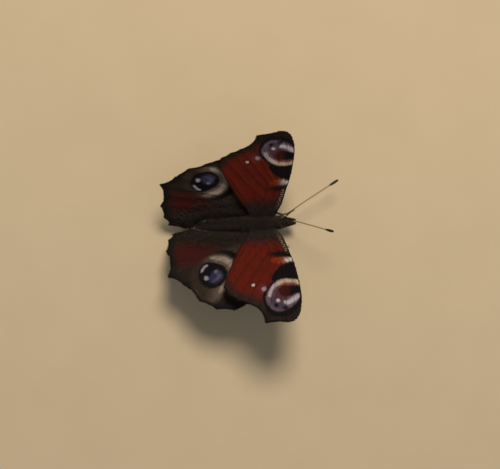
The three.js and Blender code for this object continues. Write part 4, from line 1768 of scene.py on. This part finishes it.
@dataclass
class Trunk:
    """Thorax, abdomen and head: one skin inside the coat, and the coat's three lengths."""

    rows: int = 190
    sides: int = 56
    front: float = 6.5
    rear: float = -16.2

    def coat_depth(self, x: Array) -> Array:
        """Give how deep the coat is at x."""
        on_thorax = smooth(x, -4.6, -2.6) * (1 - smooth(x, 3.2, 4.4))
        on_head = smooth(x, 3.4, 4.4)
        return 0.12 + 0.28 * on_thorax + 0.18 * on_head

    def profile(self, x: Array) -> tuple[Array, Array, Array]:
        """Give the middle, half width and half height of the skin at x."""
        sizes = [part.size(x) for part in (THORAX, HEAD, ABDOMEN)]
        power = 5.0
        weights = [w**power + 1e-9 for _, w, _ in sizes]
        z = sum(k * size[0] for k, size in zip(weights, sizes)) / sum(weights)
        wide = sum(size[1] ** power for size in sizes) ** (1 / power)
        high = sum(size[2] ** power for size in sizes) ** (1 / power)
        depth = self.coat_depth(x)
        return z, np.maximum(wide - depth, 0.12 * wide), np.maximum(high - depth, 0.12 * high)

    def skin(self) -> Shell:
        """Make the skin as one closed loft."""
        turn = np.linspace(0, math.pi, self.rows)
        x = (self.front + self.rear) / 2 - np.cos(turn) * (self.front - self.rear) / 2
        x = 0.75 * np.linspace(self.rear, self.front, self.rows) + 0.25 * x
        z, wide, high = self.profile(x[1:-1])
        angle = np.linspace(0, 2 * math.pi, self.sides, endpoint=False)
        rings = np.stack(
            [
                np.repeat(x[1:-1, None], self.sides, axis=1),
                wide[:, None] * np.cos(angle),
                z[:, None] + high[:, None] * np.sin(angle),
            ],
            axis=2,
        )
        ends = [np.array([x[k], 0.0, z[k]]) for k in (0, -1)]
        shell = Shell.lofted(rings, *ends)
        shell.values["home"] = shell.points.copy()
        shell.values["tip"] = np.zeros(len(shell.points))
        return shell

    def coat(self, skin: Shell, part: str, count: int, seed: int) -> Roots:
        """Set and comb the roots of one part's coat.

        Args:
            skin: What they grow on.
            part: thorax, abdomen or head.
            count: How many there are.
            seed: Fixes the draw.

        Returns:
            The combed roots.
        """
        span = {"abdomen": (-16.3, -3.0), "thorax": (-4.2, 4.0), "head": (3.6, 6.6)}[part]

        def weight(middle: Array, normal: Array) -> Array:
            """Keep the roots to this part of the trunk."""
            x = middle[:, 0]
            begun = smooth(x, span[0] - 0.3, span[0] + 0.3)
            return begun * (1 - smooth(x, span[1] - 0.3, span[1] + 0.3)) + 1e-9

        roots = Roots.scattered(skin, count, seed, weight)
        draw = np.random.default_rng(seed + 1)
        x, y, z = roots.points.T
        facing = roots.facing
        if part == "abdomen":
            way = np.tile([-1.0, 0.0, -0.05], (count, 1))
            lift = 30 + 8 * np.exp(-((ABDOMEN.from_groove(x) / 0.35) ** 2)) + draw.normal(0, 3, count)
            length = 0.78 + 0.3 * smooth(x, -8, -3) + 0.3 * smooth(-x, 14.5, 16)
        elif part == "thorax":
            way = np.column_stack(
                [-1.0 - 0 * x, 0.9 * np.sign(y) * np.abs(facing[:, 1]), 0.3 * facing[:, 2]],
            )
            lift = 37 + 6 * facing[:, 2] + draw.normal(0, 6, count)
            length = 1.6 + 0.5 * smooth(-x, -1.0, 3.5) + 0.25 * facing[:, 2]
        else:
            front = smooth(x, 4.6, 5.6)
            way = np.column_stack([-0.8 + 1.9 * front, 0.4 * facing[:, 1], 0.5 + 0 * x])
            lift = 42 + 10 * front + draw.normal(0, 6, count)
            length = 0.9 + 0.35 * (1 - front) + 0.2 * smooth(z, 5.6, 6.4)
        return roots.comb(way, lift, length)

    def build(self, tree: CoatTree, coat: bpy.types.Material, under: bpy.types.Material) -> None:
        """Make the skin and its coats and fix them."""
        skin = self.skin()
        ride(skin.piece("trunk_skin", under), "fur", "thorax", "abdomen", "head")
        long_hair = Tuft(TuftKind.HAIR, hairs=5, radius=0.019, spread=0.08, lean=0.2)
        short_hair = Tuft(TuftKind.DOWN, hairs=5, radius=0.04, spread=0.16, lean=0.24)
        plans = (("thorax", 3700, long_hair), ("abdomen", 3500, short_hair), ("head", 1700, short_hair))
        for k, (part, count, tuft) in enumerate(plans):
            roots = self.coat(skin, part, count, 20 + 3 * k)
            ride(tree.grow(part + "_coat", roots, tuft, coat, 1.0, 0.35, 0.2, 7 + k), "fur")


@dataclass
class Eye:
    """A compound eye: a smooth egg set in the head's side."""

    side: int
    x: float = 5.15
    y: float = 1.1
    z: float = 5.55
    half: tuple[float, float, float] = (0.82, 0.55, 0.88)

    def build(self, name: str, material: bpy.types.Material) -> None:
        """Make the eye and fix it."""
        rows, sides = 28, 40
        turn = np.linspace(0, math.pi, rows + 2)[1:-1]
        angle = np.linspace(0, 2 * math.pi, sides, endpoint=False)
        rings = np.stack(
            [
                -self.half[0] * np.cos(turn)[:, None] + 0 * angle,
                self.half[1] * np.sin(turn)[:, None] * np.cos(angle),
                self.half[2] * np.sin(turn)[:, None] * np.sin(angle),
            ],
            axis=2,
        )
        middle = np.array([self.x, self.side * self.y, self.z])
        reach = np.array([self.half[0], 0, 0])
        shell = Shell.lofted(rings + middle, middle - reach, middle + reach)
        shell.values["home"] = shell.points.copy()
        ride(shell.piece(name, material), "eye", name)


@dataclass
class Limb:
    """A jointed limb: its path, the radius at even places along it, and the hair on it."""

    name: str
    path: Points
    radii: Sequence[float]
    slot: str
    sides: int = 14
    step: float = 0.12
    pinches: Sequence[float] = ()
    pinch: float = 0.22
    flat: float = 1.0

    def line(self) -> tuple[Array, Array]:
        """Give the middle line and the share along it of each point."""
        line = smooth_line(self.path, self.step)
        return line, np.linspace(0, 1, len(line))

    def shell(self) -> Shell:
        """Make the limb as one closed bar, narrowed at its joints."""
        line, share = self.line()
        radius = np.interp(share, np.linspace(0, 1, len(self.radii)), self.radii)
        for place in self.pinches:
            radius = radius * (1 - self.pinch * np.exp(-(((share - place) / 0.008) ** 2)))
            radius = radius * (1 + 0.12 * np.exp(-(((share - place + 0.02) / 0.012) ** 2)))
        shell = tube(line, radius, self.sides, (0, 0, 1, 0.9), self.flat)
        return shell

    def hair(self, shell: Shell, count: int, seed: int, lift: float, length: float) -> Roots:
        """Set and comb hair that lies towards the limb's end."""
        roots = Roots.scattered(shell, count, seed)
        line, _ = self.line()
        ahead = unit(np.gradient(line, axis=0))
        nearest = np.argmin(((roots.points[:, None] - line[None]) ** 2).sum(2), axis=1)
        draw = np.random.default_rng(seed)
        return roots.comb(ahead[nearest], lift + draw.normal(0, 6, count), length)


@dataclass
class Leg(Limb):
    """A walking leg with two claws at its foot."""

    claw: float = 0.55

    def claws(self) -> list[Shell]:
        """Make the two small hooked claws."""
        line, _ = self.line()
        end, way = line[-1], unit(line[-1] - line[-4])
        side = unit(np.cross(way, (0, 0, 1.0)))
        shells = []
        for k, turn in enumerate((-1, 1)):
            path = [
                end,
                end + way * 0.22 * self.claw + side * turn * 0.16 * self.claw + (0, 0, 0.05),
                end + way * 0.6 * self.claw + side * turn * 0.34 * self.claw + (0, 0, 0.04),
                end + way * 0.9 * self.claw + side * turn * 0.4 * self.claw - (0, 0, 0.08),
            ]
            bent = smooth_line(path, 0.06)
            radius = np.linspace(0.07, 0.015, len(bent))
            shell = tube(bent, radius, 8, (0.5 * k, 0.92, 0.5 * k + 0.45, 1.0))
            shells.append(shell)
        return shells

    def build(self, tree: CoatTree, horn: bpy.types.Material, hair: bpy.types.Material, seed: int) -> None:
        """Make the leg, its claws and its hair, and fix them."""
        shell = self.shell()
        ride(Shell.joined([shell, *self.claws()]).piece(self.name, horn), self.slot, self.name)
        down = Tuft(TuftKind.DOWN, hairs=3, radius=0.045, spread=0.1, lean=0.2)
        roots = self.hair(shell, 620, seed, 24, 0.34)
        roots.length = roots.length * (1.5 - 0.9 * roots.values["share"])
        ride(tree.grow(self.name + "_down", roots, down, hair, 1.0, 0.4, 0.25, seed), "leg")


FOOT = 0.15
LEG_RADII = (
    0.4, 0.42, 0.38, 0.34, 0.26, 0.22, 0.25, 0.21, 0.2, 0.2, 0.19, 0.17, 0.14, 0.13, 0.13, 0.13, 0.12,
)
LEGS = {
    "mid_leg_left": [(1, 1, 3.6), (1.7, 1.8, 2.8), (3.2, 2.5, 2.9), (4.4, 2.2, 1.8), (5.3, 1.9, 0.7),
                     (5.8, 1.9, 0.24), (6.5, 2.05, FOOT), (8.2, 2.8, FOOT)],
    "mid_leg_right": [(1.2, -0.9, 3.6), (1.8, -2.2, 3.1), (3.2, -4.7, 4), (4, -5.6, 2.4), (4.6, -6, 0.7),
                      (4.9, -6.1, 0.24), (5.3, -6.2, FOOT), (6.4, -6.3, FOOT)],
    "hind_leg_left": [(-1.4, 0.9, 3.6), (-2.2, 2, 3.1), (-4.4, 4.4, 3.7), (-7, 5.6, 2.3), (-9.4, 6.2, 0.7),
                      (-10.1, 6.3, 0.24), (-10.7, 6.4, FOOT), (-12.1, 6.5, FOOT)],
    "hind_leg_right": [(-1.4, -0.9, 3.6), (-2.2, -2, 3.1), (-4.2, -4.7, 3.7), (-6.4, -6.4, 2.3),
    (-8.4, -7.4, 0.7),
                       (-9, -7.6, 0.24), (-9.6, -7.8, FOOT), (-10.9, -8.1, FOOT)],
}
FORELEG = [(2.4, 0.8, 3.9), (2.9, 0.85, 3.1), (3.7, 0.9, 2.7), (4.5, 0.9, 2.9), (4.9, 0.85, 3.5)]
FORELEG_RADII = (0.24, 0.25, 0.22, 0.2, 0.12)
FEELERS = {
    "antenna_left": [
        (5.2, 0.5, 5.8), (6.4, 1.6, 6.9), (8.6, 3.35, 7.5), (14, 6.65, 8.3), (19.55, 9.85, 8.7),
    ],
    "antenna_right": [
        (5.2, -0.45, 5.8), (6.4, -0.1, 7.1), (8.2, 0.15, 8.6), (11.3, -0.75, 11.1), (17.5, -2.8, 15.9),
    ],
}
PALP = [(5.4, 0.52, 5.0), (6.4, 0.62, 4.8), (7.4, 0.5, 5.1), (8.3, 0.38, 5.5)]
PALP_RADII = (0.32, 0.34, 0.26, 0.12)


@dataclass
class Feeler(Limb):
    """An antenna: a thin ringed rod that ends in a club."""

    shaft: float = 0.165
    club: float = 0.34
    club_start: float = 0.85
    segment: float = 0.62

    def shell(self) -> Shell:
        """Make the rod with its segments and its club."""
        line, share = self.line()
        length = float(np.linalg.norm(np.diff(line, axis=0), axis=1).sum())
        rise = np.clip((share - self.club_start) / (1 - self.club_start), 0, 1)
        swell = np.sin(math.pi * np.clip(rise * 0.86, 0, 1)) ** 0.75
        radius = self.shaft + (self.club - self.shaft) * swell
        radius = radius * (1 - 0.14 * np.cos(2 * math.pi * share * length / self.segment) ** 8)
        radius = radius * (1 + 0.9 * np.exp(-share * length / 0.35))
        radius[-2:] = radius[-2:] * (0.85, 0.5)
        return tube(line, radius, self.sides, (0, 0, 1, 1))

    def build(self, horn: bpy.types.Material) -> None:
        """Make the antenna and fix it."""
        ride(self.shell().piece(self.name, horn), self.slot, self.name)


@dataclass
class Tongue:
    """The coiled tongue below the head."""

    x: float = 5.9
    z: float = 2.6
    inner: float = 0.4
    pitch: float = 0.82
    turns: float = 1.2
    radius: float = 0.19

    def build(self, material: bpy.types.Material) -> None:
        """Make the coil and fix it."""
        share = np.linspace(0, 1, 26)
        angle = 2 * math.pi * self.turns * share + 0.9
        reach = self.inner + self.pitch * self.turns * share
        coil = np.column_stack([self.x + reach * np.cos(angle), 0 * share, self.z + reach * np.sin(angle)])
        path = np.concatenate([coil, [[5.3, 0, 4.3], [5.2, 0, 4.9]]])
        line = smooth_line(path, 0.08)
        along = np.linspace(0, 1, len(line))
        radius = self.radius * (0.55 + 0.45 * smooth(along, 0.0, 0.5))
        radius = radius * (1 + 0.05 * np.cos(2 * math.pi * along * 42))
        ride(tube(line, radius, 14).piece("tongue", material), "horn", "tongue")


class Face:
    """Palps, eyes, tongue and antennae."""

    def build(self, tree: CoatTree, coat: bpy.types.Material, under: bpy.types.Material) -> None:
        """Make the pieces of the head and fix them."""
        eye = EyeFinish().make()
        for name, side in (("eye_left", 1), ("eye_right", -1)):
            Eye(side).build(name, eye)
        feeler = HornFinish(
            "antenna_cuticle", "#8c7150", "#bfa67f", "#24160d", 0.62, 0.84, 0.88, 0.5, 0.2,
        ).make()
        for name, path in FEELERS.items():
            Feeler(name, path, (), "feeler", sides=12, step=0.075).build(feeler)
        Tongue().build(HornFinish("tongue_cuticle", "#24150e", "#4a3020", "#24150e", 0.16).make())
        down = Tuft(TuftKind.DOWN, hairs=4, radius=0.035, spread=0.1, lean=0.2)
        for name, side in (("palp_left", 1), ("palp_right", -1)):
            palp = Limb(name, [(x, side * y, z) for x, y, z in PALP], PALP_RADII, "fur", step=0.1)
            shell = palp.shell()
            shell.values["tip"] = np.zeros(len(shell.points))
            ride(shell.piece(name, under), "fur", name)
            roots = palp.hair(shell, 800, 41 + side, 30, 0.62)
            ride(tree.grow(name + "_down", roots, down, coat, 1.0, 0.35, 0.2, 41 + side), "fur")


class Legs:
    """Four walking legs, and two short brush legs folded below the head."""

    def build(self, tree: CoatTree, coat: bpy.types.Material, under: bpy.types.Material) -> None:
        """Make the legs and fix them."""
        horn = HornFinish("leg_cuticle", "#3a2a1e", "#59422e", "#7a6046", 1.9, 0.6, 0.75, 0.45).make()
        joints = (0.36, 0.66, 0.755, 0.82, 0.88, 0.94)
        for k, (name, path) in enumerate(LEGS.items()):
            leg = Leg(name, path, LEG_RADII, "leg", pinches=joints)
            leg.build(tree, horn, coat, 60 + k)
        brush = Tuft(TuftKind.HAIR, hairs=4, radius=0.02, spread=0.07, lean=0.16)
        for name, side in (("foreleg_left", 1), ("foreleg_right", -1)):
            leg = Limb(name, [(x, side * y, z) for x, y, z in FORELEG], FORELEG_RADII, "leg", step=0.1)
            shell = leg.shell()
            shell.values["tip"] = np.zeros(len(shell.points))
            ride(shell.piece(name, under), "leg", name)
            roots = leg.hair(shell, 520, 70 + side, 24, 0.75)
            ride(tree.grow(name + "_brush", roots, brush, coat, 1.0, 0.35, 0.2, 70 + side), "fur")


@dataclass(frozen=True)
class Studio:
    """The pale floor, the soft light and the camera at the photograph's angle."""

    floor: str = "#cbb898"
    key_power: float = 3.1
    key_size: float = 0.2
    key_distance: float = 0.62
    key_lean: float = 29.0
    ambient: float = 0.3
    aim: tuple[float, float, float] = (-2.98, -2.68, 6.0)
    distance: float = 500.0
    lean: float = 1.0
    turn: float = 2.8
    lens: float = 144.0

    def build_floor(self) -> None:
        """Lay the plain floor."""
        half = 1.6
        mesh = bpy.data.meshes.new("floor")
        mesh.from_pydata(
            [(-half, -half, 0), (half, -half, 0), (half, half, 0), (-half, half, 0)], [], [(0, 1, 2, 3)],
        )
        material, tree = new_material("matt_plaster")
        place = add_node(tree, "ShaderNodeTexCoord").outputs["Object"]
        grain = add_node(tree, "ShaderNodeTexNoise", None, {"Vector": place, "Scale": 60.0, "Detail": 3.0})
        share = add_node(
            tree, "ShaderNodeMapRange", None, {0: grain.outputs[0], 1: 0.3, 2: 0.7, 3: 0.0, 4: 0.12},
        )
        colour = add_node(
            tree,
            "ShaderNodeMix",
            {"data_type": "RGBA"},
            {0: share.outputs[0], 6: linear(self.floor), 7: linear("#a99878")},
        )
        finish_with(tree, colour.outputs[2], grain.outputs[0], 0.00004, {"Roughness": 0.9})
        mesh.materials.append(material)
        linked("floor", mesh)

    def build_light(self) -> None:
        """Set one wide lamp at the upper right and an even sky."""
        lean = math.radians(self.key_lean)
        away = Vector((0.28 * math.sin(lean), 0.96 * math.sin(lean), math.cos(lean)))
        lamp = bpy.data.lights.new("key", "AREA")
        lamp.shape = "DISK"
        lamp.size = self.key_size
        lamp.energy = self.key_power
        lamp.color = linear("#fff3e2")[:3]
        key = bpy.data.objects.new("key", lamp)
        key.location = away * self.key_distance
        key.rotation_euler = away.to_track_quat("Z", "Y").to_euler()
        bpy.context.scene.collection.objects.link(key)
        world = bpy.data.worlds.new("sky")
        world.use_nodes = True
        world.node_tree.nodes.clear()
        sky = add_node(
            world.node_tree,
            "ShaderNodeBackground",
            None,
            {"Color": linear("#e4e6ea"), "Strength": self.ambient}
        )
        add_node(world.node_tree, "ShaderNodeOutputWorld", None, {"Surface": sky.outputs[0]})
        bpy.context.scene.world = world
        bpy.context.scene.view_settings.view_transform = "Standard"

    def build_camera(self) -> None:
        """Set the camera where the photograph was taken from."""
        aim = Vector(ROW.metres(np.array([self.aim]))[0])
        lean, turn = math.radians(self.lean), math.radians(self.turn)
        away = Vector((0, math.sin(lean), math.cos(lean)))
        upward = Vector((math.sin(turn), math.cos(turn), 0))
        right = upward.cross(away).normalized()
        top = away.cross(right)
        lens = bpy.data.cameras.new("camera")
        lens.lens = self.lens
        camera = bpy.data.objects.new("camera", lens)
        axes = Matrix((right, top, away)).transposed()
        camera.matrix_world = Matrix.Translation(aim + away * self.distance * MM) @ axes.to_4x4()
        bpy.context.scene.collection.objects.link(camera)
        bpy.context.scene.camera = camera

    def build(self) -> None:
        """Make the floor, the light and the camera."""
        self.build_floor()
        self.build_light()
        self.build_camera()


def main() -> None:
    """Build the butterfly and its studio."""
    logging.basicConfig(level=logging.INFO, format="%(message)s", stream=sys.stdout)
    Studio().build()
    tree = CoatTree()
    coat = FurFinish("body_hair", "#060302", "#2d1d12", "#3a2d21").make()
    under = FurFinish("body_skin", "#060403", "#1d130d", "#221a14", coat=False).make()
    wing_hair = FurFinish("wing_hair", "#120a06", "#2f2117", "#3c2f24").make()
    Trunk().build(tree, coat, under)
    Face().build(tree, coat, under)
    Legs().build(tree, coat, under)
    finishes = {plan.name: WingFinish(plan).make() for plan in (FORE, HIND)}
    for k, (name, (plan, hold)) in enumerate(HOLDS.items()):
        Wing(name, plan, hold).build(tree, finishes[plan.name], wing_hair, 100 + 10 * k)


if __name__ == "__main__":
    main()
